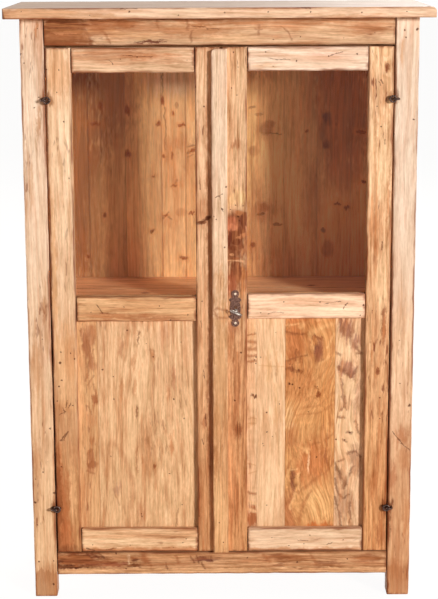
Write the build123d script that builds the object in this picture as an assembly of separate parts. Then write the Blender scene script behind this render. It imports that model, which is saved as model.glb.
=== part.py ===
from build123d import *
from math import atan, cos, degrees, pi, radians, sin
import os

# A free-standing two-door display cabinet of rough pine, in millimetres.
# X runs to the viewer's right, Y to the back and Z up, and the feet stand on Z = 0.

# Top board and overall size
total_height = 1394.0
top_width = 960.0
top_depth = 375.0
top_thick = 24.0
side_overhang = 32.0
front_overhang = 37.5
top_ease = 2.5
worn_end_radius = 10.0

# Posts and case rails
post_width = 54.0
post_depth = 45.0
foot_height = 55.0
top_rail_height = 61.0
bottom_rail_height = 55.5
side_rail_thick = 25.0
back_rail_thick = 25.0
edge_ease = 2.0

# Mortise and tenon joints
tenon_thick = 9.0
tenon_shoulder = 8.0
case_tenon_length = 30.0
side_tenon_length = 22.0
door_tenon_length = 38.0
joint_clear = 0.15
tenon_end_gap = 1.0

# Boards of the sides, back, floor and shelf
side_board_thick = 10.0
back_board_thick = 14.0
floor_thick = 18.0
shelf_thick = 20.0
shelf_top = 716.0
groove_depth = 8.0
back_rebate_width = 12.0
board_clear = 0.3
board_gap = 0.6
tongue_length = 5.0
cleat_width = 22.0
cleat_height = 20.0
side_board_count = 3
floor_board_count = 3
shelf_board_count = 2
back_joints = (-323.0, -232.0, -143.0, -84.0, 0.0, 79.0, 158.0, 240.0, 323.0)

# Doors
door_thick = 24.0
door_side_gap = 2.5
door_top_gap = 4.0
door_bottom_gap = 2.0
meeting_gap = 4.0
meeting_shift = 2.5
stile_width = 57.0
left_top_rail = 56.5
right_top_rail = 54.0
middle_rail_height = 59.0
middle_rail_centre = 705.0
right_middle_rise = 5.0
door_bottom_rail = 58.0
rebate_lip = 14.0
rebate_width = 9.0
glass_thick = 4.0
glass_clear = 1.0
bead_round = 2.5
left_panel_joint = 45.5
right_panel_joints = (22.0, 88.5, 205.5)

# Door stop behind the front top rail
stop_clear = 0.5
stop_drop = 10.0
stop_height = 20.0
stop_thick = 12.0

# Interlocked eye hinges: a level ring on the post and an upright ring on the door
eye_wire = 2.5
eye_sides = 16
post_eye_radius = 7.0
door_eye_radius = 6.5
eye_shank = 2.8
eye_face_gap = 0.5
hinge_side_shift = 2.0
hinge_from_bottom = 110.0
hinge_from_top = 116.5
post_shank_depth = 34.0
door_shank_depth = 19.0
shank_taper = 6.0
shank_point = 0.8
hole_clear = 0.1

# Cover strip on the right door, lapping the left one
strip_width = 34.0
strip_shift = -0.35
strip_thick = 14.0
strip_clear = 0.4
strip_end_gap = 1.0
strip_top_gap = 3.0
strip_round = 4.0
strip_corner = 12.0

# Escutcheon, key and rim lock
lock_drop = 9.0
key_from_edge = 30.5
plate_from_edge = 29.0
plate_rise = 5.0
plate_thick = 1.6
plate_body_half_width = 12.5
plate_body_half_height = 25.0
plate_lobe_radius = 9.0
plate_lobe_offset = 34.5
plate_waist = 12.0
plate_cusp = 9.0
plate_cusp_side = 8.5
plate_cusp_rise = 20.0
pin_head_radius = 3.2
pin_head_height = 2.0
pin_head_flat = 1.6
pin_radius = 1.4
pin_length = 14.0
keyhole_clear = 0.9
key_radius = 2.5
key_collar_radius = 4.5
key_collar_length = 3.0
key_collar_gap = 0.5
bow_reach = 24.0
bow_half_width = 16.0
bow_half_length = 10.0
bow_rim = 4.0
bow_thick = 4.0
bit_radius = 9.5
bit_thick = 2.6
bit_front = 1.5
bit_width = 6.5
key_rest_angle = 24.0
key_turn = 132.0
bolt_throw = 14.0
bolt_drop = 6.0
bolt_height = 13.0
bolt_thick = 4.0
bolt_inset = 2.5
bolt_guide_clear = 0.3
bolt_end_clear = 0.8
lock_from_edge = 2.0
lock_above_key = 29.0
lock_below_key = 33.0
lock_depth = 11.0
lock_wall = 1.5
lock_pocket_gap = 1.0
stump_radius = 1.8
stump_from_edge = 8.0
lock_screw_inset = 5.0
screw_radius = 1.6
screw_head_radius = 3.2
screw_head_height = 1.6
screw_sides = 8
lock_screw_length = 22.0
keeper_width = 16.0
keeper_slot_clear = 1.0
keeper_flange = 9.0
keeper_screw_length = 12.0

# Slide bolt inside the left door
slide_rod_radius = 3.5
slide_throw = 16.0
slide_tip_gap = 3.0
slide_rod_tail = 3.0
slide_plate_width = 26.0
slide_plate_thick = 1.5
slide_plate_drop = 2.0
slide_guide_height = 8.0
slide_guide_width = 14.0
slide_guide_inset = 4.0
slide_guide_wall = 2.0
slide_fit = 0.15
slide_stop_clear = 0.3
slide_rod_stand_off = 1.0
knob_radius = 3.0
knob_length = 12.0
strike_thick = 1.5
strike_half_width = 11.0
strike_bore_clear = 0.8

# Blocks and screws that hold the top board
block_width = 50.0
block_depth = 25.0
block_height = 28.0
block_spacing = 300.0
top_screw_radius = 2.2
top_screw_head = 4.2
top_screw_head_height = 2.4
top_screw_bite = 12.0

# Places that follow from the sizes above
case_half = top_width / 2 - side_overhang
case_front = -top_depth / 2 + front_overhang
case_back = top_depth / 2
case_top = total_height - top_thick
post_inner = case_half - post_width
front_post_back = case_front + post_depth
back_post_front = case_back - post_depth
top_rail_low = case_top - top_rail_height
bottom_rail_top = foot_height + bottom_rail_height
front_rail_back = case_front + door_thick + stop_clear
back_board_face = case_back - back_board_thick
side_rail_inner = case_half - side_rail_thick
side_board_inner = case_half - side_rail_thick / 2 - side_board_thick / 2
side_board_outer = side_board_inner + side_board_thick
door_low = bottom_rail_top + door_bottom_gap
door_high = top_rail_low - door_top_gap
door_back = case_front + door_thick
door_outer = post_inner - door_side_gap
stop_low = top_rail_low - stop_drop
hinge_x = post_inner + hinge_side_shift
hinge_y = case_front - post_eye_radius - eye_wire - eye_face_gap
hinge_heights = (door_low + hinge_from_bottom, door_high - hinge_from_top)
left_meeting = meeting_shift - meeting_gap / 2
right_meeting = meeting_shift + meeting_gap / 2
lock_height = middle_rail_centre + right_middle_rise - lock_drop
key_x = right_meeting + key_from_edge
plate_x = right_meeting + plate_from_edge
plate_z = lock_height + plate_rise
bolt_top = lock_height - bolt_drop
bolt_low = bolt_top - bolt_height
bolt_front = door_back + bolt_inset
bolt_back = bolt_front + bolt_thick
lock_left = right_meeting + lock_from_edge
lock_right = right_meeting + stile_width - rebate_width - lock_pocket_gap
lock_low = lock_height - lock_below_key
lock_high = lock_height + lock_above_key
lock_back = door_back + lock_depth
slide_x = left_meeting - stile_width / 2
slide_y = door_back + slide_plate_thick + slide_rod_radius + slide_rod_stand_off
slide_tip = stop_low - strike_thick - slide_tip_gap
slide_plate_high = slide_tip - slide_plate_drop
slide_upper_guide = slide_plate_high - slide_guide_inset - slide_guide_height
slide_knob_z = slide_upper_guide - slide_stop_clear - slide_throw - knob_radius
slide_lower_guide = slide_knob_z - knob_radius - slide_stop_clear - slide_guide_height
slide_plate_low = slide_lower_guide - slide_guide_inset

pieces = {}


def block(x, y, z):
    """A block between two limits on each axis, given in either order."""
    (x0, x1), (y0, y1), (z0, z1) = sorted(x), sorted(y), sorted(z)
    return Pos((x0 + x1) / 2, (y0 + y1) / 2, (z0 + z1) / 2) * Box(x1 - x0, y1 - y0, z1 - z0)


def widened(limits, amount):
    """Two limits moved apart by an amount at each end."""
    low, high = sorted(limits)
    return (low - amount, high + amount)


def rod(radius, start, length, direction):
    """A round bar from a start point along X, Y or Z; a negative length runs backwards."""
    turn = {"x": Rot(0, 90, 0), "y": Rot(-90, 0, 0), "z": Rot(0, 0, 0)}[direction]
    return Pos(*start) * turn * Pos(0, 0, length / 2) * Cylinder(radius, abs(length))


def bar(radius, start, length, direction):
    """A bar like a rod, but with flat sides, for screws, pins and shanks and the holes that take them."""
    turn = {"x": Rot(0, 90, 0), "y": Rot(-90, 0, 0), "z": Rot(0, 0, 0)}[direction]
    section = RegularPolygon(radius, screw_sides, rotation=180 / screw_sides)
    return Pos(*start) * turn * Pos(0, 0, min(length, 0)) * extrude(section, abs(length))


def frustum(radius, end_radius, start, length):
    """A flat-sided bar along Y that narrows from one radius to another; a negative length runs forward."""
    section = RegularPolygon(radius, screw_sides, rotation=180 / screw_sides)
    flat = cos(pi / screw_sides)
    slope = degrees(atan((radius - end_radius) * flat / abs(length)))
    turn = Rot(-90, 0, 0) if length > 0 else Rot(90, 0, 0)
    return Pos(*start) * turn * extrude(section, abs(length), taper=slope)


def ring(radius):
    """A level ring of bent wire, drawn with short straight lengths."""
    step = 2 * pi / eye_sides
    corners = [(radius * cos(step * (n + 0.5)), radius * sin(step * (n + 0.5))) for n in range(eye_sides)]
    start = ((corners[-1][0] + corners[0][0]) / 2, (corners[-1][1] + corners[0][1]) / 2)
    section = Plane(origin=(*start, 0), z_dir=(0, 1, 0)) * RegularPolygon(eye_wire, 8, rotation=22.5)
    return sweep(section, path=Polyline(start, *corners, start), transition=Transition.RIGHT)


def ease_front(solid, face):
    """Rounds the four edges of the face that looks forward."""
    return fillet(solid.edges().filter_by_position(Axis.Y, face - 0.01, face + 0.01), edge_ease)


def planks(cuts, thick, length, laid):
    """Boards side by side between the cuts, joined by tongues and grooves."""
    middle = (thick[0] + thick[1]) / 2
    third = (thick[1] - thick[0]) / 6
    tongue_thick = (middle - third, middle + third)
    boards = []
    for number, (low, high) in enumerate(zip(cuts, cuts[1:])):
        first = number == 0
        last = number == len(cuts) - 2
        left = low if first else low + board_gap / 2
        right = high if last else high - board_gap / 2
        board = laid((left, right), thick, length)
        if not last:
            board += laid((right, right + board_gap + tongue_length), tongue_thick, length)
        if not first:
            groove = (left, left + tongue_length + board_gap)
            board -= laid(groove, widened(tongue_thick, joint_clear), length)
        boards.append(board)
    return boards


def even_cuts(low, high, count):
    """Cut places that share a width evenly among a number of boards."""
    return [low + (high - low) * n / count for n in range(count + 1)]


def across_x(width, thick, length):
    """Upright boards whose widths run along X."""
    return block(width, thick, length)


def across_y(width, thick, length):
    """Upright boards whose widths run along Y."""
    return block(thick, width, length)


def flat_boards(width, thick, length):
    """Level boards that run from side to side, their widths along Y."""
    return block(length, width, thick)


def case_rail_heights():
    """The lower and upper rail levels that all four sides of the case share."""
    return (foot_height, bottom_rail_top), (top_rail_low, case_top)


def long_rail_tenon(side, centre_y, z):
    """Limits of the tenon at one end of a front or back rail."""
    x = (side * post_inner, side * (post_inner + case_tenon_length))
    return x, widened((centre_y, centre_y), tenon_thick / 2), widened(z, -tenon_shoulder)


def side_rail_tenon(side, back, z):
    """Limits of the tenon at one end of a side rail."""
    x = widened((side * (case_half - side_rail_thick / 2),) * 2, tenon_thick / 2)
    if back:
        y = (back_post_front, back_post_front + side_tenon_length)
    else:
        y = (front_post_back - side_tenon_length, front_post_back)
    return x, y, widened(z, -tenon_shoulder)


front_tenon_y = (case_front + front_rail_back) / 2
back_tenon_y = back_board_face - back_rail_thick / 2


def make_post(side, back):
    """A corner post, mortised for its rails and grooved for the side boards."""
    y = (back_post_front, case_back) if back else (case_front, front_post_back)
    post = block((side * post_inner, side * case_half), y, (0, case_top))
    post = fillet(post.edges().filter_by(Axis.Z), edge_ease)
    for z in case_rail_heights():
        x_t, y_t, z_t = long_rail_tenon(side, back_tenon_y if back else front_tenon_y, z)
        post -= block(widened(x_t, tenon_end_gap), widened(y_t, joint_clear), widened(z_t, joint_clear))
        x_t, y_t, z_t = side_rail_tenon(side, back, z)
        post -= block(widened(x_t, joint_clear), widened(y_t, tenon_end_gap), widened(z_t, joint_clear))
    face = back_post_front if back else front_post_back
    groove_x = widened((side * side_board_inner, side * side_board_outer), board_clear)
    groove_z = widened((bottom_rail_top, top_rail_low), groove_depth)
    post -= block(groove_x, widened((face, face), groove_depth), groove_z)
    if back:
        rebate_x = (side * (post_inner - 1), side * (post_inner + back_rebate_width))
        post -= block(rebate_x, (back_board_face, case_back + 1), (foot_height, case_top + 1))
    else:
        for height in hinge_heights:
            post -= eye_hole(side * (hinge_x + post_shank_offset), height, post_shank_depth)
    return post


def make_long_rail(y, centre_y, z, front):
    """A front or back rail with a tenon at each end."""
    rail = block((-post_inner, post_inner), y, z)
    if front:
        rail = ease_front(rail, y[0])
    for side in (-1, 1):
        rail += block(*long_rail_tenon(side, centre_y, z))
    return rail


def make_side_rail(side, z, groove_level):
    """A side rail, tenoned into both posts and grooved along the edge that holds the boards."""
    x = (side * side_rail_inner, side * case_half)
    rail = block(x, (front_post_back, back_post_front), z)
    for back in (False, True):
        rail += block(*side_rail_tenon(side, back, z))
    groove_x = widened((side * side_board_inner, side * side_board_outer), board_clear)
    along = widened((front_post_back, back_post_front), side_tenon_length + 1)
    return rail - block(groove_x, along, widened((groove_level, groove_level), groove_depth))


# Each hinge eye's shank leaves its ring on the far side from the door gap.
post_shank_offset = post_eye_radius * cos(radians(25))
post_shank_start = post_eye_radius * sin(radians(25))


def eye_hole(x, z, depth):
    """The drilled hole that takes a hinge eye's shank, from the front face inwards."""
    return bar(eye_shank + hole_clear, (x, case_front - 1, z), depth + 2, "y")


def shank(x, y_start, z, depth):
    """A driven shank that ends in a point inside the wood."""
    straight_end = case_front + depth - shank_taper
    body = bar(eye_shank, (x, y_start, z), straight_end - y_start, "y")
    return body + frustum(eye_shank, shank_point, (x, straight_end, z), shank_taper)


def post_eye(side, z):
    """The level ring that goes round the hinge axis, driven into the post."""
    eye = Pos(side * hinge_x, hinge_y, z) * ring(post_eye_radius)
    shank_x = side * (hinge_x + post_shank_offset)
    return eye + shank(shank_x, hinge_y + post_shank_start, z, post_shank_depth)


def door_eye(side, z):
    """The upright ring that hangs in the post's ring, driven into the door stile."""
    centre_x = side * (hinge_x - door_eye_radius)
    eye = Pos(centre_x, hinge_y, z) * Rot(90, 0, 0) * ring(door_eye_radius)
    return eye + shank(side * (hinge_x - 2 * door_eye_radius), hinge_y, z, door_shank_depth)


def screw(start, length, direction, radius, head_radius, head_height):
    """A plain screw: a head at the start, then the shank."""
    forward = 1 if length > 0 else -1
    head = bar(head_radius, start, forward * head_height, direction)
    offset = {"x": (1, 0, 0), "y": (0, 1, 0), "z": (0, 0, 1)}[direction]
    under_head = tuple(s + forward * head_height * o for s, o in zip(start, offset))
    return head + bar(radius, under_head, length - forward * head_height, direction)


def small_screw(x, seat, z, length):
    """A lock screw driven forward into a door, its head resting on a seat."""
    start = (x, seat + screw_head_height, z)
    return screw(start, -length, "y", screw_radius, screw_head_radius, screw_head_height)


def make_case():
    """Posts, rails, boards, floor, shelf and stop: everything that stands still but the top."""
    low_rail, high_rail = case_rail_heights()
    for side, name in ((-1, "left"), (1, "right")):
        pieces[f"post_front_{name}"] = make_post(side, False)
        pieces[f"post_back_{name}"] = make_post(side, True)
        pieces[f"rail_{name}_bottom"] = make_side_rail(side, low_rail, bottom_rail_top)
        pieces[f"rail_{name}_top"] = make_side_rail(side, high_rail, top_rail_low)
        depth = groove_depth - board_clear
        cuts = even_cuts(front_post_back - depth, back_post_front + depth, side_board_count)
        thick = sorted((side * side_board_inner, side * side_board_outer))
        length = widened((bottom_rail_top, top_rail_low), depth)
        pieces[f"side_boards_{name}"] = planks(cuts, thick, length, across_y)
    front_y = (case_front, front_rail_back)
    pieces["rail_front_bottom"] = make_long_rail(front_y, front_tenon_y, low_rail, True)
    pieces["rail_front_top"] = make_long_rail(front_y, front_tenon_y, high_rail, True)
    back_y = (back_board_face - back_rail_thick, back_board_face)
    pieces["rail_back_bottom"] = make_long_rail(back_y, back_tenon_y, low_rail, False)
    pieces["rail_back_top"] = make_long_rail(back_y, back_tenon_y, high_rail, False)
    back_edge = post_inner + back_rebate_width - board_clear
    cuts = [-back_edge, *back_joints, back_edge]
    thick = (back_board_face, case_back)
    pieces["back_boards"] = planks(cuts, thick, (foot_height, case_top), across_x)
    pieces["hinge_eyes_post"] = [post_eye(side, z) for side in (-1, 1) for z in hinge_heights]


def clear_of_posts(boards):
    """Notches level boards round the four corner posts."""
    notched = []
    for board in boards:
        for side in (-1, 1):
            x = (side * (post_inner - board_clear), side * (case_half + 1))
            board -= block(x, (case_front - 1, front_post_back + board_clear), (0, case_top))
            board -= block(x, (back_post_front - board_clear, case_back + 1), (0, case_top))
        notched.append(board)
    return notched


def make_floor_and_shelf():
    """The cabinet floor between the rails, and the shelf that rests on cleats."""
    floor_back = back_board_face - back_rail_thick - board_clear
    cuts = even_cuts(front_rail_back + board_clear, floor_back, floor_board_count)
    half = side_rail_inner - board_clear
    thick = (bottom_rail_top - floor_thick, bottom_rail_top)
    pieces["floor_boards"] = clear_of_posts(planks(cuts, thick, (-half, half), flat_boards))
    cuts = even_cuts(front_post_back + board_clear, back_board_face - board_clear, shelf_board_count)
    half = side_board_inner - board_clear
    thick = (shelf_top - shelf_thick, shelf_top)
    pieces["shelf_boards"] = clear_of_posts(planks(cuts, thick, (-half, half), flat_boards))
    between_posts = (front_post_back, back_post_front)
    floor_cleats = []
    shelf_cleats = []
    for side in (-1, 1):
        x = (side * side_rail_inner, side * (side_rail_inner - cleat_width))
        high = bottom_rail_top - floor_thick
        floor_cleats.append(block(x, between_posts, (high - cleat_height, high)))
        x = (side * side_board_inner, side * (side_board_inner - cleat_width))
        high = shelf_top - shelf_thick
        shelf_cleats.append(block(x, between_posts, (high - cleat_height, high)))
    pieces["floor_cleats"] = floor_cleats
    pieces["shelf_cleats"] = shelf_cleats


def make_stop():
    """The lath that the doors close against, bored for the left door's slide bolt."""
    lath_y = (front_rail_back, front_rail_back + stop_thick)
    lath = block((-post_inner, post_inner), lath_y, (stop_low, stop_low + stop_height))
    bore = slide_rod_radius + strike_bore_clear
    strike_x = widened((slide_x, slide_x), strike_half_width)
    strike = block(strike_x, lath_y, (stop_low - strike_thick, stop_low))
    through = rod(bore, (slide_x, slide_y, stop_low - 2 * strike_thick), stop_height * 2, "z")
    pieces["door_stop"] = lath - through
    pieces["slide_strike"] = strike - through


def make_top():
    """The top board with its worn right end, and the blocks and screws that hold it."""
    half = top_width / 2
    with BuildSketch(Plane.XZ) as end_view:
        with Locations((0, total_height - top_thick / 2)):
            Rectangle(top_width, top_thick)
        corners = end_view.vertices()
        fillet(corners.group_by(Axis.Y)[-1].sort_by(Axis.X)[-1], worn_end_radius)
    board = Pos(0, case_back, 0) * extrude(end_view.sketch, top_depth)
    front = board.edges().filter_by_position(Axis.Y, -top_depth / 2 - 0.01, -top_depth / 2 + 0.01)
    board = fillet(front, top_ease)
    blocks = []
    screws = []
    full_bite = block_height + top_screw_bite + hole_clear
    rows = (front_rail_back + block_depth / 2, back_board_face - back_rail_thick - block_depth / 2)
    for y in rows:
        for x in (-block_spacing, 0, block_spacing):
            under_block = case_top - block_height
            body = Pos(x, y, case_top - block_height / 2) * Box(block_width, block_depth, block_height)
            hole = bar(top_screw_radius + hole_clear, (x, y, under_block - 1), full_bite + 1, "z")
            blocks.append(body - hole)
            board -= hole
            start = (x, y, under_block - top_screw_head_height)
            length = top_screw_head_height + block_height + top_screw_bite
            screws.append(screw(start, length, "z", top_screw_radius, top_screw_head, top_screw_head_height))
    pieces["top_board"] = board
    pieces["top_blocks"] = blocks
    pieces["top_screws"] = screws


def door_places(side):
    """Where the members of one door lie; side is -1 for the left door and 1 for the right."""
    meeting = right_meeting if side > 0 else left_meeting
    middle = middle_rail_centre + (right_middle_rise if side > 0 else 0)
    top_rail = right_top_rail if side > 0 else left_top_rail
    return {
        "side": side,
        "outer": side * door_outer,
        "outer_inside": side * (door_outer - stile_width),
        "meeting": meeting,
        "inner_inside": meeting + side * stile_width,
        "bottom_rail": (door_low, door_low + door_bottom_rail),
        "middle_rail": (middle - middle_rail_height / 2, middle + middle_rail_height / 2),
        "top_rail": (door_high - top_rail, door_high),
    }


def door_openings(place):
    """X and Z limits of the glazed opening and of the panel opening, in that order."""
    x = sorted((place["outer_inside"], place["inner_inside"]))
    glazed = (place["middle_rail"][1], place["top_rail"][0])
    panelled = (place["bottom_rail"][1], place["middle_rail"][0])
    return (x, glazed), (x, panelled)


def cut_rebates(member, place):
    """Cuts the rebates that hold the glass and the panel boards, from the back."""
    for x, z in door_openings(place):
        depth = (case_front + rebate_lip, door_back + 1)
        member -= block(widened(x, rebate_width), depth, widened(z, rebate_width))
    return member


def door_tenon(place, stile, z):
    """Limits of a door rail's tenon where it enters the outer or inner stile."""
    start = place["outer_inside"] if stile == "outer" else place["inner_inside"]
    outwards = place["side"] if stile == "outer" else -place["side"]
    centre_y = case_front + rebate_lip / 2
    x = (start, start + outwards * door_tenon_length)
    return x, widened((centre_y, centre_y), tenon_thick / 2), widened(z, -tenon_shoulder)


def make_stile(place, stile):
    """An upright door member with three mortises and the rebates."""
    ends = ("outer", "outer_inside") if stile == "outer" else ("meeting", "inner_inside")
    x = tuple(place[end] for end in ends)
    member = ease_front(block(x, (case_front, door_back), (door_low, door_high)), case_front)
    member = cut_rebates(member, place)
    for rail in ("bottom_rail", "middle_rail", "top_rail"):
        x_t, y_t, z_t = door_tenon(place, stile, place[rail])
        member -= block(widened(x_t, tenon_end_gap), widened(y_t, joint_clear), widened(z_t, joint_clear))
    return member


def make_door_rail(place, rail):
    """A level door member with a tenon at each end."""
    x = (place["outer_inside"], place["inner_inside"])
    member = ease_front(block(x, (case_front, door_back), place[rail]), case_front)
    member = cut_rebates(member, place)
    for stile in ("outer", "inner"):
        member += block(*door_tenon(place, stile, place[rail]))
    return member


def make_beads(x, z):
    """Four beads that hold the glass in its rebate."""
    front = case_front + rebate_lip + glass_thick
    beads = []
    x_out, z_out = widened(x, rebate_width - board_clear), widened(z, rebate_width - board_clear)
    for level in (0, 1):
        beads.append(block(x_out, (front, door_back), (z_out[level], z[level])))
    for end in (0, 1):
        beads.append(block((x_out[end], x[end]), (front, door_back), z))
    rounded = []
    for number, bead in enumerate(beads):
        along = Axis.X if number < 2 else Axis.Z
        across = Axis.Z if number < 2 else Axis.X
        toward_opening = -1 if number % 2 == 0 else 0
        edges = bead.edges().filter_by(along).group_by(Axis.Y)[-1].sort_by(across)
        rounded.append(fillet(edges[toward_opening], bead_round))
    return rounded


def make_door(side, name):
    """The frame, glass, beads, panel boards and hinge eyes of one door."""
    place = door_places(side)
    outer = make_stile(place, "outer")
    for height in hinge_heights:
        outer -= eye_hole(side * (hinge_x - 2 * door_eye_radius), height, door_shank_depth)
    pieces[f"{name}_stile_outer"] = outer
    pieces[f"{name}_stile_inner"] = make_stile(place, "inner")
    for rail in ("top", "middle", "bottom"):
        pieces[f"{name}_rail_{rail}"] = make_door_rail(place, f"{rail}_rail")
    (x, glazed), (_, panelled) = door_openings(place)
    lip = case_front + rebate_lip
    loose = rebate_width - glass_clear
    pieces[f"{name}_glass"] = block(widened(x, loose), (lip, lip + glass_thick), widened(glazed, loose))
    pieces[f"{name}_beads"] = make_beads(x, glazed)
    panel_x = widened(x, rebate_width - board_clear)
    panel_z = widened(panelled, rebate_width - board_clear)
    if side < 0:
        joints = [x[0] + left_panel_joint]
        board_names = ("narrow", "wide")
    else:
        joints = [x[0] + joint for joint in right_panel_joints]
        board_names = ("edge", "pale", "figured", "outer")
    boards = planks([panel_x[0], *joints, panel_x[1]], (lip, door_back), panel_z, across_x)
    for board_name, board in zip(board_names, boards):
        pieces[f"{name}_panel_{board_name}"] = board
    pieces[f"{name}_hinge_eyes"] = [door_eye(side, z) for z in hinge_heights]


def make_cover_strip():
    """The strip fixed to the right door that laps the left door with a running clearance."""
    x = widened((strip_shift, strip_shift), strip_width / 2)
    z = (door_low + strip_end_gap, door_high - strip_top_gap)
    strip = block(x, (case_front - strip_thick, case_front), z)
    upright = strip.edges().filter_by(Axis.Z).group_by(Axis.Y)[0]
    strip = fillet(upright, strip_round)
    top_left = block((x[0], x[0] + strip_corner), (case_front - strip_thick, case_front),
                     (z[1] - strip_corner, z[1]))
    round_off = rod(strip_corner, (x[0] + strip_corner, case_front - strip_thick, z[1] - strip_corner),
                    strip_thick, "y")
    strip -= top_left - round_off
    lap = block((x[0] - 1, meeting_shift), (case_front - strip_clear, case_front), widened(z, 1))
    pieces["cover_strip"] = strip - lap


def keyhole(front, back):
    """The round hole for the key's shank, with a slot above it that lets the bit through."""
    radius = key_radius + keyhole_clear
    slot_half = bit_thick / 2 + keyhole_clear
    slot_z = (lock_height, lock_height + bit_radius + keyhole_clear)
    slot = block(widened((key_x, key_x), slot_half), (front, back), slot_z)
    return rod(radius, (key_x, front, lock_height), back - front, "y") + slot


def make_escutcheon():
    """The shaped plate round the keyhole, held by two round-headed pins."""
    with BuildSketch(Plane.XZ) as outline:
        with Locations((plate_x, plate_z)):
            Ellipse(plate_body_half_width, plate_body_half_height)
            Rectangle(plate_waist, 2 * plate_lobe_offset)
        with Locations((plate_x, plate_z - plate_lobe_offset), (plate_x, plate_z + plate_lobe_offset)):
            Circle(plate_lobe_radius)
        for across in (-1, 1):
            for rise in (-1, 1):
                with Locations((plate_x + across * plate_cusp_side, plate_z + rise * plate_cusp_rise)):
                    Rectangle(plate_cusp, plate_cusp, rotation=45)
    plate = Pos(0, case_front, 0) * extrude(outline.sketch, plate_thick)
    plate -= keyhole(case_front - plate_thick - 1, case_front + 1)
    pins = []
    for rise in (-1, 1):
        pin_z = plate_z + rise * plate_lobe_offset
        centre = (plate_x, case_front - plate_thick, pin_z)
        plate -= bar(pin_radius + hole_clear, (plate_x, centre[1] - 1, pin_z), plate_thick + 2, "y")
        head = frustum(pin_head_radius, pin_head_flat, centre, -pin_head_height)
        pins.append(head + bar(pin_radius, centre, pin_length, "y"))
    pieces["escutcheon"] = plate
    pieces["escutcheon_pins"] = pins


def bit_limits_under_bolt():
    """Least and greatest X, in the bolt's own frame, that the turning bit reaches below its top."""
    reached = []
    steps = 66
    for step in range(steps + 1):
        share = step / steps
        angle = -radians(key_rest_angle + key_turn * share)
        slid = bolt_throw * share
        for edge in (-bit_thick / 2, bit_thick / 2):
            for radius in (bit_radius, 0.85 * bit_radius, 0.7 * bit_radius):
                x = radius * cos(angle) - edge * sin(angle)
                z = radius * sin(angle) + edge * cos(angle)
                if z < -bolt_drop + 0.2:
                    reached.append(x + slid)
    return key_x + min(reached), key_x + max(reached)


def make_lock():
    """The rim lock behind the right stile: case, sliding bolt, screws and the key that throws it."""
    inside_x = widened((lock_left, lock_right), -lock_wall)
    inside_z = widened((lock_low, lock_high), -lock_wall)
    case = block((lock_left, lock_right), (door_back, lock_back), (lock_low, lock_high))
    case -= block(inside_x, (door_back - 1, lock_back - lock_wall), inside_z)
    bolt_y = (bolt_front, bolt_back)
    bolt_z = (bolt_low, bolt_top)
    mouth_y, mouth_z = widened(bolt_y, bolt_guide_clear), widened(bolt_z, bolt_guide_clear)
    case -= block((lock_left - 1, lock_left + lock_wall + 1), mouth_y, mouth_z)
    key_tip = (key_x, lock_back - 2 * lock_wall, lock_height)
    case -= rod(key_radius + bolt_guide_clear, key_tip, 3 * lock_wall, "y")
    stump_x, stump_z = lock_left + stump_from_edge, (bolt_low + bolt_top) / 2
    stump_length = lock_back - lock_wall - bolt_front + bolt_guide_clear
    case += rod(stump_radius, (stump_x, lock_back - lock_wall, stump_z), -stump_length, "y")
    screws = []
    for x in (lock_left + lock_screw_inset, lock_right - lock_screw_inset):
        for z in (lock_low + lock_screw_inset, lock_high - lock_screw_inset):
            case -= bar(screw_radius + hole_clear, (x, lock_back + 1, z), -lock_wall - 2, "y")
            screws.append(small_screw(x, lock_back, z, lock_screw_length))
            hole_depth = lock_screw_length - lock_depth
            pilot = bar(screw_radius + hole_clear, (x, door_back + 1, z), -hole_depth - 1, "y")
            pieces["right_stile_inner"] -= pilot
    bolt_right = lock_right - lock_wall - bolt_end_clear
    bolt = block((lock_left, bolt_right), bolt_y, bolt_z)
    slot_reach = stump_radius + bolt_guide_clear
    slot_x = (stump_x - slot_reach, stump_x + bolt_throw + slot_reach)
    bolt -= block(slot_x, widened(bolt_y, 1), widened((stump_z, stump_z), slot_reach))
    notch = widened(bit_limits_under_bolt(), bolt_guide_clear)
    notch_z = (lock_height - bit_radius - bolt_guide_clear, bolt_top + 1)
    bolt -= block(notch, widened(bolt_y, 1), notch_z)
    pieces["lock_case"] = case
    pieces["lock_screws"] = screws
    pieces["lock_bolt"] = bolt
    for drilled in ("right_stile_inner", "right_rail_middle"):
        pieces[drilled] -= keyhole(case_front - 1, door_back + 1)
    for pin_z in (plate_z - plate_lobe_offset, plate_z + plate_lobe_offset):
        hole_depth = pin_length - plate_thick + 2
        hole = bar(pin_radius + hole_clear, (plate_x, case_front - 1, pin_z), hole_depth, "y")
        pieces["right_stile_inner"] -= hole


def make_key():
    """The key at rest, turned part of the way, its bow, shank and bit in one slanting plane."""
    bow_y = case_front - bow_reach
    outer = Ellipse(bow_half_width, bow_half_length)
    inner = Ellipse(bow_half_width - bow_rim, bow_half_length - bow_rim)
    bow = Pos(0, bow_y, 0) * extrude(outer - inner, bow_thick / 2, both=True)
    shank_start = bow_y + bow_half_length - bow_rim / 2
    tip = lock_back + bolt_guide_clear
    stem = rod(key_radius, (0, shank_start, 0), tip - shank_start, "y")
    collar_end = case_front - plate_thick - key_collar_gap
    collar = rod(key_collar_radius, (0, collar_end - key_collar_length, 0), key_collar_length, "y")
    bit_y = (door_back + bit_front, door_back + bit_front + bit_width)
    bit = block((0, bit_radius), bit_y, (-bit_thick / 2, bit_thick / 2))
    key = Pos(key_x, 0, lock_height) * Rot(0, key_rest_angle, 0) * (bow + stem + collar + bit)
    pieces["key"] = key


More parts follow.
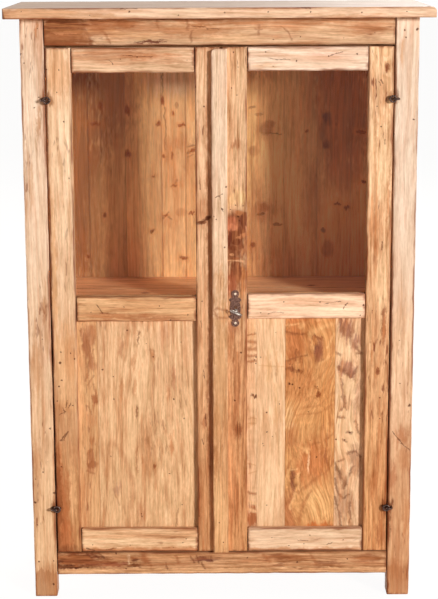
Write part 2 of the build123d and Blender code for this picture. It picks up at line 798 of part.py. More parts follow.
def make_keeper():
    """The bridge on the back of the left stile that the lock bolt slides into, and its screws."""
    x = (left_meeting - lock_from_edge, left_meeting - lock_from_edge - keeper_width)
    slot_y = (door_back - 1, bolt_back + keeper_slot_clear)
    slot_z = widened((bolt_low, bolt_top), keeper_slot_clear)
    bridge = block(x, (door_back, bolt_back + keeper_slot_clear + lock_wall), widened(slot_z, lock_wall))
    flanges = block(x, (door_back, door_back + lock_wall), widened(slot_z, lock_wall + keeper_flange))
    keeper = bridge + flanges - block(widened(x, 1), slot_y, slot_z)
    screws = []
    middle_x = (x[0] + x[1]) / 2
    for z in widened(slot_z, lock_wall + keeper_flange / 2):
        keeper -= bar(screw_radius + hole_clear, (middle_x, door_back - 1, z), lock_wall + 2, "y")
        screws.append(small_screw(middle_x, door_back + lock_wall, z, keeper_screw_length))
        pilot = bar(screw_radius + hole_clear, (middle_x, door_back + 1, z), -keeper_screw_length, "y")
        pieces["left_stile_inner"] -= pilot
    pieces["lock_keeper"] = keeper
    pieces["keeper_screws"] = screws


def make_slide_bolt():
    """The bolt inside the left door that holds it shut, drawn down and free at rest."""
    plate_x_limits = widened((slide_x, slide_x), slide_plate_width / 2)
    plate_y = (door_back, door_back + slide_plate_thick)
    plate = block(plate_x_limits, plate_y, (slide_plate_low, slide_plate_high))
    guide_x = widened((slide_x, slide_x), slide_guide_width / 2)
    guide_y = (door_back, slide_y + slide_rod_radius + slide_guide_wall)
    for low in (slide_lower_guide, slide_upper_guide):
        plate += block(guide_x, guide_y, (low, low + slide_guide_height))
    rod_low = slide_lower_guide - slide_rod_tail
    rod_length = slide_tip - rod_low
    plate -= rod(slide_rod_radius + slide_fit, (slide_x, slide_y, rod_low), rod_length, "z")
    upright = rod(slide_rod_radius, (slide_x, slide_y, rod_low), rod_length, "z")
    knob = rod(knob_radius, (slide_x, slide_y, slide_knob_z), slide_rod_radius + knob_length, "y")
    pieces["slide_bolt_plate"] = plate
    pieces["slide_bolt_rod"] = upright + knob


make_case()
make_floor_and_shelf()
make_stop()
make_top()
make_door(-1, "left")
make_door(1, "right")
make_cover_strip()
make_escutcheon()
make_lock()
make_key()
make_keeper()
make_slide_bolt()

os.makedirs("parts", exist_ok=True)
for piece_name, shape in pieces.items():
    solids = [s for item in shape for s in item.solids()] if isinstance(shape, list) else shape.solids()
    export_step(Compound(children=list(solids)), f"parts/{piece_name}.step")
    print(piece_name, len(solids), "solid" if len(solids) == 1 else "solids")
print(len(pieces), "nodes")
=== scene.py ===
import math

import bpy
import numpy as np
from mathutils import Matrix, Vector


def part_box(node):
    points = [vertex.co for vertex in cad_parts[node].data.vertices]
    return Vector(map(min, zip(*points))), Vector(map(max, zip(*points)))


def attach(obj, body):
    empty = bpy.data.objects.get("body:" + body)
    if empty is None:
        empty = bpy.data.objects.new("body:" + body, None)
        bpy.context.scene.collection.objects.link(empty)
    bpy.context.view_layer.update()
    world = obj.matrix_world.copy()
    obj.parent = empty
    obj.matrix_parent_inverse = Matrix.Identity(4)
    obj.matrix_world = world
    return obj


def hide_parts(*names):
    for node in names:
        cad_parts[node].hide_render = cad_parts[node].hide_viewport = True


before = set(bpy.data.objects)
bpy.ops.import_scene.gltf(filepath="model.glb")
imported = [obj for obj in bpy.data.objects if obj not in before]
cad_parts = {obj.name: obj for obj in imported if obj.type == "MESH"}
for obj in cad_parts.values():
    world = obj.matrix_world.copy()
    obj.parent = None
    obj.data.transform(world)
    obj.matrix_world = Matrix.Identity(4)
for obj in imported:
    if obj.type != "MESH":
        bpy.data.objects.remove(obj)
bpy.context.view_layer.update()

# A rustic pine display cabinet with two glazed doors. X runs to the viewer's right, Y to the back, Z up.
# Lengths are millimetres unless a note says otherwise, and colours are on-screen values from 0 to 255.
mm = 0.001
sides = (("left", -1), ("right", 1))
building = {"tree": None}  # the node tree that new nodes go into
print("frame:", len(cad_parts), "nodes")


def linear(red, green, blue):
    # on-screen colour to the light values that shaders take
    share = np.clip(np.array([red, green, blue], float) / 255, 0, 1)
    light = np.where(share <= 0.04045, share / 12.92, ((share + 0.055) / 1.055) ** 2.4)
    return tuple(float(v) for v in light) + (1.0,)


def tinted(colour, factors):
    return linear(*(channel * factor for channel, factor in zip(colour, factors)))


class Value:
    # A node's output that takes arithmetic. Each step adds a Math node, or a Vector Math node for a vector.
    def __init__(self, socket):
        self.socket = socket
        self.wide = socket.type in ("VECTOR", "RGBA")

    def __add__(self, other):
        return reckon("ADD", self, other)

    def __sub__(self, other):
        return reckon("SUBTRACT", self, other)

    def __mul__(self, other):
        return reckon("MULTIPLY", self, other)

    def __truediv__(self, other):
        return reckon("DIVIDE", self, other)


def addNode(kind, inputs=(), **settings):
    made = building["tree"].nodes.new("ShaderNode" + kind)
    for key, value in settings.items():
        setattr(made, key, value)
    setInputs(made, inputs)
    return made


def setInputs(node, inputs):
    # a value from another node is linked, and a constant is set on the node's own socket
    for slot, value in dict(inputs).items():
        if isinstance(value, Value):
            building["tree"].links.new(value.socket, node.inputs[slot])
        elif isinstance(value, bpy.types.NodeSocket):
            building["tree"].links.new(value, node.inputs[slot])
        else:
            node.inputs[slot].default_value = value


def calc(operation, *values, clamp=False):
    return Value(addNode("Math", enumerate(values), operation=operation, use_clamp=clamp).outputs[0])


def vectorCalc(operation, first, second=(0, 0, 0)):
    slots = {0: first, 3 if operation == "SCALE" else 1: second}
    made = addNode("VectorMath", slots, operation=operation)
    return Value(made.outputs["Value" if operation in ("LENGTH", "DISTANCE", "DOT_PRODUCT") else "Vector"])


def reckon(operation, first, second):
    # a vector times a number is scaled, and otherwise both are vectors or both are numbers
    wide = [isinstance(value, tuple) or getattr(value, "wide", False) for value in (first, second)]
    if all(wide):
        return vectorCalc(operation, first, second)
    if any(wide):
        return vectorCalc("SCALE", *((first, second) if wide[0] else (second, first)))
    return calc(operation, first, second)


def ramped(value, start, stop, low=0.0, high=1.0):
    # value carried smoothly from start..stop to low..high
    inputs = {"Value": value, "From Min": start, "From Max": stop, "To Min": low, "To Max": high}
    return Value(addNode("MapRange", inputs, interpolation_type="SMOOTHSTEP").outputs[0])


def noiseNode(place, scale, detail, roughness=0.5):
    # soft noise, stretched by scale (features per metre along each axis)
    inputs = {"Vector": place * scale, "Scale": 1.0, "Detail": detail, "Roughness": roughness}
    return addNode("TexNoise", inputs)


def noiseAt(place, scale, detail=2.0, roughness=0.5):
    return Value(noiseNode(place, scale, detail, roughness).outputs[0])


def swayAt(place, scale, detail=2.0):
    # a soft random vector with each part between minus and plus a half
    return Value(noiseNode(place, scale, detail).outputs["Color"]) - (0.5, 0.5, 0.5)


def mixed(factor, first, second, mode="MIX"):
    inputs = {0: factor, 6: first, 7: second}
    return Value(addNode("Mix", inputs, data_type="RGBA", blend_type=mode).outputs[2])


def greatest(first, *others):
    for other in others:
        first = calc("MAXIMUM", first, other)
    return first


def objectPlace():
    return Value(addNode("TexCoord").outputs["Object"])


def attributeAt(name, output="Fac"):
    return Value(addNode("Attribute", attribute_name=name).outputs[output])


def partOf(place, number):
    return Value(addNode("SeparateXYZ", {0: place}).outputs[number])


def bumped(height, strength, distance):
    return Value(addNode("Bump", {"Height": height, "Strength": strength, "Distance": distance}).outputs[0])


def raysAre(*kinds):
    # 1 where the ray is of any of these kinds
    outputs = addNode("LightPath").outputs
    return greatest(*(Value(outputs[f"Is {kind} Ray"]) for kind in kinds))


def newMaterial(name):
    material = bpy.data.materials.new(name)
    material.use_nodes = True
    building["tree"] = material.node_tree
    building["tree"].nodes.clear()
    return material


def finishSurface(shader):
    addNode("OutputMaterial", {"Surface": shader})


def principled(**inputs):
    # input names written with underscores for spaces
    named = {key.replace("_", " "): value for key, value in inputs.items()}
    return addNode("BsdfPrincipled", named).outputs[0]


figureInputs = {
    "Vector": ("Place", "Straight"),
    "Float": ("Ring Width", "Ring Strength", "Streaks", "Stain", "Flecks", "Curl", "Grain", "Pinholes",
              "Knot", "Mark", "Rim"),
    "Color": ("Pale", "Warm", "Streak Colour", "Stain Colour", "Knot Colour", "Ink"),
}


def makeWoodFigure():
    # Growth rings round a pith line, pulled round knots, under streaks, stain, fibres, flecks and pinholes.
    tree = bpy.data.node_groups.new("woodFigure", "ShaderNodeTree")
    building["tree"] = tree
    for kind, names in figureInputs.items():
        for name in names:
            tree.interface.new_socket(name, in_out="INPUT", socket_type="NodeSocket" + kind)
    for name, kind in (("Colour", "Color"), ("Roughness", "Float"), ("Height", "Float")):
        tree.interface.new_socket(name, in_out="OUTPUT", socket_type="NodeSocket" + kind)
    outputs = tree.nodes.new("NodeGroupInput").outputs
    given = {name: Value(outputs[name]) for names in figureInputs.values() for name in names}
    bent, straight, knot = given["Place"], given["Straight"], given["Knot"]

    # rings: distance from the pith over the ring width, its fraction turned into a slow rise and a quick fall
    pull = calc("EXPONENT", calc("POWER", knot, 2.0) * -0.3)
    ragged = noiseAt(bent, (70.0, 70.0, 8.0), 3.0)
    phase = (vectorCalc("LENGTH", bent * (1, 1, 0)) + pull * 0.012) / given["Ring Width"] + ragged * 0.9
    turn = calc("FRACT", phase)
    late = ramped(turn, 0.20, 0.88) * ramped(turn, 0.90, 1.0, 1.0, 0.0)
    uneven = ramped(noiseAt(straight, (17.0, 17.0, 3.0)), 0.35, 0.65, 0.2, 1.0)
    rings = late * uneven * given["Ring Strength"]

    # streaks and stain: noise stretched along the grain, dark above its middle and light below
    streak = noiseAt(bent, (120.0, 120.0, 9.0), 3.0, 0.6)
    broad = noiseAt(bent, (34.0, 34.0, 3.2), 3.0, 0.55)
    both = streak * 0.5 + broad * 0.5
    streaks = ramped(both, 0.46, 0.66) * given["Streaks"]
    lightStreaks = ramped(both, 0.50, 0.36) * given["Streaks"]
    blotch = noiseAt(bent, (20.0, 20.0, 6.0), 5.0, 0.65)
    stain = ramped(blotch + (streak - 0.5) * 0.25, 0.53, 0.66) * given["Stain"]
    curl = (noiseAt(bent, (9.0, 9.0, 95.0), 1.0) - 0.5) * given["Curl"]
    fibre = noiseAt(straight, (520.0, 520.0, 12.0))
    fineStreak = noiseAt(bent, (300.0, 300.0, 14.0), 3.0, 0.62)
    threads = ramped(fineStreak, 0.54, 0.66) * given["Streaks"]
    shortGrain = noiseAt(bent, (260.0, 260.0, 70.0), 2.0, 0.6)
    middleGrain = noiseAt(bent, (170.0, 170.0, 8.0), 3.0, 0.6)

    # flecks in groups, and beetle holes: a cell's distance from its point, in a third of the cells
    fleck = noiseAt(bent, (150.0, 150.0, 30.0))
    grouped = ramped(noiseAt(straight, (21.0, 21.0, 6.0), 1.0), 0.50, 0.62)
    flecks = ramped(fleck, 0.60, 0.72) * (grouped * given["Flecks"])
    cells = addNode("TexVoronoi", {"Vector": straight * (30, 30, 22), "Scale": 1.0}).outputs
    present = ramped(addNode("SeparateColor", {0: cells["Color"]}).outputs[0], 0.66, 0.68)
    pinholes = ramped(cells["Distance"], 0.058, 0.028) * present * given["Pinholes"]
    knotRough = knot + (streak - 0.5) * 1.6
    knotRings = calc("PINGPONG", knotRough, 0.3)
    knotShade = ramped(knotRough, 1.35, 0.65) * (knotRings * 1.1 + 0.62)

    colour = mixed(rings, given["Pale"], given["Warm"])
    for share, over in ((streaks, "Streak Colour"), (threads * 0.8, "Streak Colour"), (stain, "Stain Colour"),
                        (pull * 0.5, "Warm")):
        colour = mixed(share, colour, given[over])
    bright = (fibre - 0.5) * 0.3
    for layer, amount in ((fineStreak, 0.9), (shortGrain, 0.4), (middleGrain, 0.95)):
        bright = bright + (layer - 0.5) * amount
    bright = bright * given["Grain"] + 1.03 + lightStreaks * 0.15 + (curl + (blotch - 0.5) * -0.35)
    # dark grain is warmer than light grain, so red swings less than blue
    tint = {channel: bright * share + (1.01 - share) for channel, share in enumerate((0.80, 1.02, 1.28))}
    colour = mixed(1.0, colour, addNode("CombineColor", tint).outputs[0], "MULTIPLY")
    colour = mixed(knotShade, colour, given["Knot Colour"])
    rimPatch = given["Rim"] * ramped(ragged, 0.35, 0.62, 0.1, 0.8)
    colour = mixed(greatest(rimPatch, flecks * 0.85), colour, given["Knot Colour"])
    dark = greatest(pinholes, given["Mark"])
    colour = mixed(dark * 0.85, colour, given["Ink"])

    height = fibre * 0.3 - rings * 0.25 - greatest(flecks, dark) * 1.1 + broad * 0.8 + blotch * 0.9
    rough = calc("ADD", fineStreak * 0.22 + dark * 0.3, 0.32, clamp=True)
    setInputs(tree.nodes.new("NodeGroupOutput"), {"Colour": colour, "Roughness": rough, "Height": height})
    return tree


woodFigure = makeWoodFigure()
faceAxes = {"front": (0, 2), "side": (1, 2), "level": (0, 1)}
grainWays = {"x": (1, 0, 0), "y": (0, 1, 0), "z": (0, 0, 1)}


def onFace(face, a, b):
    # a point of a face's two coordinates as a point in space, in metres
    point = [0.0, 0.0, 0.0]
    point[faceAxes[face][0]] = a * mm
    point[faceAxes[face][1]] = b * mm
    return tuple(point)


def spotField(flat, face, spots):
    # least distance to any spot, 1 at a spot's rim: spots are (a, b, halfA, halfB)
    field = 60.0
    for a, b, halfA, halfB in spots:
        apart = vectorCalc("LENGTH", (flat - onFace(face, a, b)) * onFace(face, 1e6 / halfA, 1e6 / halfB))
        field = calc("SMOOTH_MIN", field, apart, 0.25) if isinstance(field, Value) else apart
    return field


def strokeField(flat, face, strokes, widening=1.0):
    # least distance to any line, 1 at its side: a stroke is (a, b), then (a, b, half width) for each point
    field = 60.0
    for a, b, *points in strokes:
        for nextA, nextB, half in zip(*[iter(points)] * 3):
            run = onFace(face, nextA - a, nextB - b)
            fromStart = flat - onFace(face, a, b)
            square = sum(v * v for v in run)
            along = calc("DIVIDE", vectorCalc("DOT_PRODUCT", fromStart, run), square, clamp=True)
            apart = vectorCalc("DISTANCE", fromStart, along * run) / (half * widening * mm)
            field = calc("MINIMUM", field, apart)
            a, b = nextA, nextB
    return field


# What a wood look may change. Knots are (a, b, halfA, halfB); smudges and blots add (colour, strength). Holes
# are (a, b, radius), bands (low, high, colour, strength), veins (colour, strength, strokes), and cracks are
# strokes. With frontOnly, the Y of the front face, the marks stay on that face. Smudges hold both the wood's
# own tone and painted light and shade, and veins hold grain lines and, on the cover strip, a painted shadow.
woodDefaults = {
    "tone": (236, 190, 148), "footTone": None, "ring": 7.0, "rings": 0.55, "swirl": 14.0, "streaks": 0.5,
    "swirlScale": (6.0, 6.0, 1.6), "stain": 0.15, "flecks": 0.55, "pinholes": 0.8, "curl": 0.0, "knots": (),
    "holes": (), "cracks": (), "smudges": (), "blots": (), "bands": (), "veins": (), "fineGrain": 1.0,
    "edge": 1.0, "face": "front", "along": "z", "stainShade": (0.74, 0.55, 0.44), "grain": None,
    "frontOnly": None, "shine": 0.12,
}


def pineMaterial(name, **changes):
    look = {**woodDefaults, **changes}
    face = look["face"]
    material = newMaterial(name)
    at = objectPlace()
    if look["grain"] is None:
        place = attributeAt("place", "Vector")
    else:  # a CAD node has no attribute, so its grain follows an axis of the frame
        turned = {"x": (0, math.pi / 2, 0), "y": (math.pi / 2, 0, 0), "z": (0, 0, 0)}[look["grain"]]
        inputs = {"Vector": at, "Rotation": turned, "Location": (0.31, 0.05, 0.7)}
        place = Value(addNode("Mapping", inputs).outputs[0])
    bent = place + swayAt(place, look["swirlScale"]) * (look["swirl"] * 2 * mm)

    # marks shake a little; smudges, some of them painted light and shade, slide along the grain by fibres, so
    # their ends feather
    flatten = onFace(face, 1000, 1000)
    shaken = at + swayAt(at, (170, 170, 170)) * 0.006
    flat = shaken * flatten
    slide = noiseAt(bent, (150.0, 150.0, 7.0), 2.0, 0.6) - 0.5
    wide = swayAt(at, (40, 40, 40), 3.0)
    grainWay = grainWays[look["along"]]
    wideFlat = (shaken + slide * 0.05 * grainWay + wide * 0.022) * flatten
    winding = (shaken + wide * 0.016) * flatten
    mottle = noiseAt(bent, (170.0, 170.0, 45.0), 4.0, 0.68) - 0.5
    knot = spotField((shaken + slide * 0.02 * grainWay) * flatten, face, look["knots"])
    hole = spotField(flat, face, [(a, b, r, r) for a, b, r in look["holes"]])
    uneven = (ramped(noiseAt(at, (120, 120, 120), 1.0), 0.35, 0.65, 0.7, 1.7)
              * strokeField(flat, face, look["cracks"]))
    mark = greatest(ramped(hole, 1.2, 0.6), ramped(uneven, 1.5, 0.4, 0.0, 0.75))
    facing = 1.0
    if look["frontOnly"] is not None:
        facing = ramped(partOf(at, 1), (look["frontOnly"] + 4) * mm, (look["frontOnly"] + 1.5) * mm)
        mark = mark * facing

    tone, footTone = look["tone"], look["footTone"] or look["tone"]
    # toward the bottom the colours run to footTone, darker and warmer: partly the wood's own tone and partly
    # painted shade of the light falling off downward
    rise = ramped(partOf(at, 2), 0.15, 1.15)
    shades = {}
    for part, factors in (("Pale", (1.06, 1.10, 1.13)), ("Warm", (0.92, 0.80, 0.67)),
                          ("Streak Colour", (0.83, 0.66, 0.52)), ("Stain Colour", look["stainShade"])):
        high, low = tinted(tone, factors), tinted(footTone, factors)
        shades[part] = mixed(rise, low, high) if look["footTone"] else high

    def painted(pale, field, shake, outer, inner, colour, strength):
        # the colour covers the wood where the field, shaken by the mottle, runs from outer to inner
        cover = ramped(field + mottle * shake, outer, inner) * strength
        return mixed(cover * facing, pale, linear(*colour))

    for *spot, colour, strength in look["smudges"]:
        field = spotField(wideFlat, face, [spot])
        shades["Pale"] = painted(shades["Pale"], field, 2.0, 1.4, 0.4, colour, strength)
    across = partOf(wideFlat, faceAxes[face][1])
    for low, high, colour, strength in look["bands"]:
        inside = (ramped(across, (low - 3) * mm, (low + 3) * mm)
                  * ramped(across, (high + 3) * mm, (high - 3) * mm))
        shades["Pale"] = mixed(inside * strength, shades["Pale"], linear(*colour))
    for colour, strength, strokes in look["veins"]:
        field = strokeField(winding, face, strokes, 1.7)
        shades["Pale"] = painted(shades["Pale"], field, 1.6, 2.2, 0.0, colour, strength * 0.8)
    for *spot, colour, strength in look["blots"]:
        field = spotField(winding, face, [spot])
        shades["Pale"] = painted(shades["Pale"], field, 0.35, 1.35, 0.75, colour, strength)

    figure = building["tree"].nodes.new("ShaderNodeGroup")
    figure.node_tree = woodFigure
    setInputs(figure, {
        "Place": bent, "Straight": place, "Ring Width": look["ring"] * mm, "Ring Strength": look["rings"],
        "Streaks": look["streaks"], "Stain": look["stain"], "Flecks": look["flecks"], "Curl": look["curl"],
        "Pinholes": look["pinholes"], "Grain": look["fineGrain"], "Knot": knot, "Mark": mark,
        "Rim": attributeAt("rim") * look["edge"], **shades, "Ink": linear(88, 42, 20),
        "Knot Colour": tinted(footTone, (0.62, 0.40, 0.28)),
    })
    gain = attributeAt("shade") * 0.16 + 1.0
    grey = addNode("CombineColor", {channel: gain for channel in range(3)}).outputs[0]
    finishSurface(principled(
        Base_Color=mixed(1.0, figure.outputs["Colour"], grey, "MULTIPLY"),
        Roughness=figure.outputs["Roughness"], Normal=bumped(figure.outputs["Height"], 0.7, 0.0011),
        Specular_IOR_Level=look["shine"]))
    return material


def metalMaterial(name, dark, light, rough, metallic, grainSize):
    # blotched, hand-worked metal: two tones mixed by noise, rougher where it is dark
    material = newMaterial(name)
    at = objectPlace()
    patch = noiseAt(at, (grainSize,) * 3, 4.0, 0.6)
    fine = noiseAt(at, (grainSize * 6,) * 3)
    colour = mixed(ramped(patch, 0.40, 0.66), linear(*dark), linear(*light))
    finishSurface(principled(
        Base_Color=colour, Metallic=metallic, Normal=bumped(patch + fine * 0.3, 0.6, 0.0006),
        Roughness=calc("ADD", (patch - 0.5) * -0.35, rough, clamp=True)))
    return material


def glassMaterial(name):
    # window glass that lets lamps and bounced light straight through
    material = newMaterial(name)
    ripple = noiseAt(objectPlace(), (7.0, 7.0, 3.0))
    pane = principled(Base_Color=(0.985, 0.995, 0.985, 1), Roughness=0.02, IOR=1.2, Transmission_Weight=1.0,
                      Normal=bumped(ripple, 0.12, 0.002))
    clear = addNode("BsdfTransparent", {"Color": (0.98, 0.99, 0.985, 1)}).outputs[0]
    finishSurface(addNode("MixShader", {0: raysAre("Shadow", "Diffuse"), 1: pane, 2: clear}).outputs[0])
    return material


ironMaterial = metalMaterial("blackIron", (38, 28, 25), (96, 74, 64), 0.46, 0.85, 260.0)
ringMaterial = metalMaterial("forgedRing", (40, 27, 23), (118, 92, 82), 0.38, 0.8, 420.0)
bronzeMaterial = metalMaterial("oldBronze", (84, 54, 44), (150, 112, 96), 0.40, 0.75, 330.0)
# the pin heads' near-white colour is a painted glint standing in for the shine of their metal
paintedGlintPinMaterial = metalMaterial("pinPaintedGlint", (216, 192, 168), (255, 244, 228), 0.36, 0.25, 300.0)
steelMaterial = metalMaterial("wornSteel", (128, 116, 108), (190, 180, 170), 0.34, 0.95, 300.0)
glassSheet = glassMaterial("windowGlass")
print("materials: metals and glass")


def wander(stations, size, rng, length=150.0):
    # sum of three sines of unlike length along the piece, from 0 to size
    total = np.zeros_like(stations)
    for share, part in ((0.5, 1.0), (0.3, 0.41), (0.2, 0.17)):
        total = total + share * np.sin(2 * np.pi * (stations / (length * part) + rng.random()))
    return size * (0.5 + 0.5 * total)


def chipped(stations, count, rng, deepest=2.2):
    # bell-shaped bites taken out of an edge at a few places
    bites = np.zeros_like(stations)
    for _ in range(count):
        where = rng.uniform(stations[0], stations[-1])
        bites = bites + rng.uniform(0.5, deepest) * np.exp(-((stations - where) / rng.uniform(3.0, 9.0)) ** 2)
    return bites


def sweptBoard(low, high, along, ease=2.0, drift=(0.6, 0.15), ends=1.2, chips=4, seed=1, pith=(0, 38),
               tilt=0.0, shade=0.0, stepAlong=14.0, stepAcross=400.0):
    # A rounded rectangle carried from end to end. Each arris is an arc whose radius wanders and chips along
    # the piece, each side drifts inwards a little, and the last sections draw in to round the ends.
    low, high = np.array(low, float), np.array(high, float)
    rng = np.random.default_rng(seed)
    p, q = (along + 1) % 3, (along + 2) % 3
    size, middle = high - low, (high + low) / 2
    acrossAxis, depthAxis = (p, q) if size[p] >= size[q] else (q, p)

    quarter = np.linspace(0, np.pi / 2, 4)
    entry = np.concatenate([ends * (1 - np.cos(quarter)), ends + np.array([1.5, 5.0, 10.0])])
    drawn = np.concatenate([ends * (1 - np.sin(quarter)), [0, 0, 0]])
    entryRim = np.array([1, 1, 1, 1, 0.5, 0.0, 0.0])
    count = max(2, int((size[along] - 2 * entry[-1]) / stepAlong))
    inner = np.linspace(entry[-1], size[along] - entry[-1], count + 1)[1:-1]
    stations = np.concatenate([entry, inner, size[along] - entry[::-1]])
    inset = np.concatenate([drawn, np.zeros(len(inner)), drawn[::-1]])
    endRim = np.concatenate([entryRim, np.zeros(len(inner)), entryRim[::-1]])

    driftOf = {acrossAxis: drift[0], depthAxis: drift[1]}
    inward = {(axis, sign): wander(stations, driftOf[axis], rng) for axis in (p, q) for sign in (-1, 1)}
    arcs = []
    for turn, (signP, signQ) in enumerate(((-1, -1), (1, -1), (1, 1), (-1, 1))):
        signY = {p: signP, q: signQ}.get(1, -1)
        wanted = ease[0 if signY < 0 else 1] if isinstance(ease, tuple) else ease
        radius = wanted * (0.65 + wander(stations, 0.7, rng, 60.0))
        if wanted > 0.5:
            radius = radius + chipped(stations, chips, rng)
        cornerP = signP * (size[p] / 2 - inset - inward[p, signP])
        cornerQ = signQ * (size[q] / 2 - inset - inward[q, signQ])
        radius = np.clip(radius - inset, 0.12, 0.45 * min(size[p], size[q]))
        angles = np.pi * (1 + turn / 2) + np.linspace(0, np.pi / 2, 5)
        arcP = (cornerP - signP * radius)[:, None] + radius[:, None] * np.cos(angles)
        arcQ = (cornerQ - signQ * radius)[:, None] + radius[:, None] * np.sin(angles)
        arcs.append(np.stack([arcP, arcQ], -1))

    columns, rims = [], []
    for turn in range(4):
        columns.append(arcs[turn])
        rims += [1.0] * 5
        flat = size[p] if turn % 2 == 0 else size[q]
        if flat > 14:
            inside = np.linspace(5.0, flat - 5.0, max(2, int(flat / stepAcross) + 1))
            share = np.concatenate([[1.5], inside, [flat - 1.5]]) / flat
            rims += [0.25] + [0.0] * len(inside) + [0.25]
        else:
            share = np.array([0.25, 0.5, 0.75])
            rims += [0.4, 0.1, 0.4]
        start, stop = arcs[turn][:, -1:], arcs[(turn + 1) % 4][:, :1]
        columns.append(start * (1 - share[None, :, None]) + stop * share[None, :, None])
    section = np.concatenate(columns, 1)
    rows, width = section.shape[:2]
    points = np.empty((rows, width, 3))
    points[..., p] = section[..., 0] + middle[p]
    points[..., q] = section[..., 1] + middle[q]
    points[..., along] = (stations + low[along])[:, None]
    # the wood's own coordinates: across and through the board from its pith, then along, each log elsewhere
    place = np.empty_like(points)
    leaned = tilt * (points[..., along] - middle[along])
    place[..., 0] = points[..., acrossAxis] - middle[acrossAxis] + pith[0]
    place[..., 1] = points[..., depthAxis] - middle[depthAxis] + pith[1] + leaned
    place[..., 2] = points[..., along] + 3700.0 * (seed % 41)
    board = gridSurface(points)
    board["place"] = place.reshape(-1, 3) * mm
    board["rim"] = np.maximum(np.array(rims)[None, :], endRim[:, None]).ravel()
    board["shade"] = np.full(rows * width, float(shade))
    return board


def gridSurface(points, joined=False):
    # Faces for a grid of points (along, around, xyz) in mm. Each section closes on itself, and the ends are
    # capped or joined to each other. The result is in metres.
    rows, width = points.shape[:2]
    index = np.arange(rows * width).reshape(rows, width)
    nextAround, nextAlong = np.roll(index, -1, 1), np.roll(index, -1, 0)
    quads = np.stack([index, nextAround, np.roll(nextAlong, -1, 1), nextAlong], -1)
    flat = points.reshape(-1, 3) * mm
    zeros = np.zeros(rows * width)
    return {"points": flat, "place": flat, "rim": zeros, "shade": zeros,
            "quads": (quads if joined else quads[:-1]).reshape(-1, 4),
            "caps": [] if joined else [index[0][::-1], index[-1]]}


def turnedBar(centre, profile, around=24):
    # A profile of (distance along Y, radius) spun about a line along Y through the centre.
    profile = np.array(profile, float)
    angle = np.linspace(0, 2 * np.pi, around, endpoint=False)
    points = np.empty((len(profile), around, 3))
    points[..., 0] = centre[0] + profile[:, 1:2] * np.sin(angle)
    points[..., 1] = centre[1] + profile[:, 0:1]
    points[..., 2] = centre[2] + profile[:, 1:2] * np.cos(angle)
    return gridSurface(points)


def twoAngles(around, across):
    # an angle round a ring, down the rows, and one round its wire, along them
    return (np.linspace(0, 2 * np.pi, around, endpoint=False)[:, None],
            np.linspace(0, 2 * np.pi, across, endpoint=False)[None, :])


def wireRing(centre, radius, wire, upright, seed):
    # A ring of wire, drawn by two angles. The wire's thickness and the ring's radius vary, as if forged.
    turn, roll = twoAngles(48, 16)
    phases = np.random.default_rng(seed).random(3) * 2 * np.pi
    swell = wire * (0.93 + 0.05 * np.sin(2 * turn + phases[0]) + 0.02 * np.sin(5 * turn + phases[1]))
    reach = radius * (1 + 0.012 * np.sin(3 * turn + phases[2])) + swell * np.cos(roll)
    out = np.broadcast_to(swell * np.sin(roll), reach.shape)
    a, b = reach * np.cos(turn), reach * np.sin(turn)
    points = np.stack([a, out, b], -1) if upright else np.stack([a, -b, out], -1)
    return gridSurface(points + np.array(centre), joined=True)


def placed(name, data):
    made = bpy.data.objects.new(name, data)
    bpy.context.scene.collection.objects.link(made)
    return made


def makePiece(name, parts, material, body, slotName, *replaced):
    # one mesh from several closed shapes, with the wood's attributes, riding on a body
    mesh = bpy.data.meshes.new(name)
    offsets = np.cumsum([0] + [len(part["points"]) for part in parts])
    faces = []
    for part, offset in zip(parts, offsets):
        faces += (part["quads"] + offset).tolist() + [(cap + offset).tolist() for cap in part["caps"]]
    mesh.from_pydata(np.concatenate([part["points"] for part in parts]).tolist(), [], faces)
    for key, kind, field in (("place", "FLOAT_VECTOR", "vector"), ("rim", "FLOAT", "value"),
                             ("shade", "FLOAT", "value")):
        values = np.concatenate([part[key] for part in parts]).astype(np.float32)
        mesh.attributes.new(key, kind, "POINT").data.foreach_set(field, values.ravel())
    mesh.shade_smooth()
    mesh.set_sharp_from_angle(angle=math.radians(35))
    mesh.materials.append(material)
    piece = placed(name, mesh)
    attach(piece, body)
    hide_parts(*replaced)


def boxOf(node):
    low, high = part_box(node)
    return np.array(low) / mm, np.array(high) / mm


def dress(material, *names):
    # a CAD node that keeps its shape takes a finished material
    for name in names:
        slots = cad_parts[name].data.materials
        for number in range(len(slots)):
            slots[number] = material


topBoard = {
    "ease": 2.2, "drift": (0.9, 0.3), "ends": 1.6, "chips": 7, "tilt": 0.012, "stepAcross": 60.0,
    "stepAlong": 7.0,
}
topEnd = {"worn": 10.0, "pale": 16.0, "paintedTopShade": -2.1}


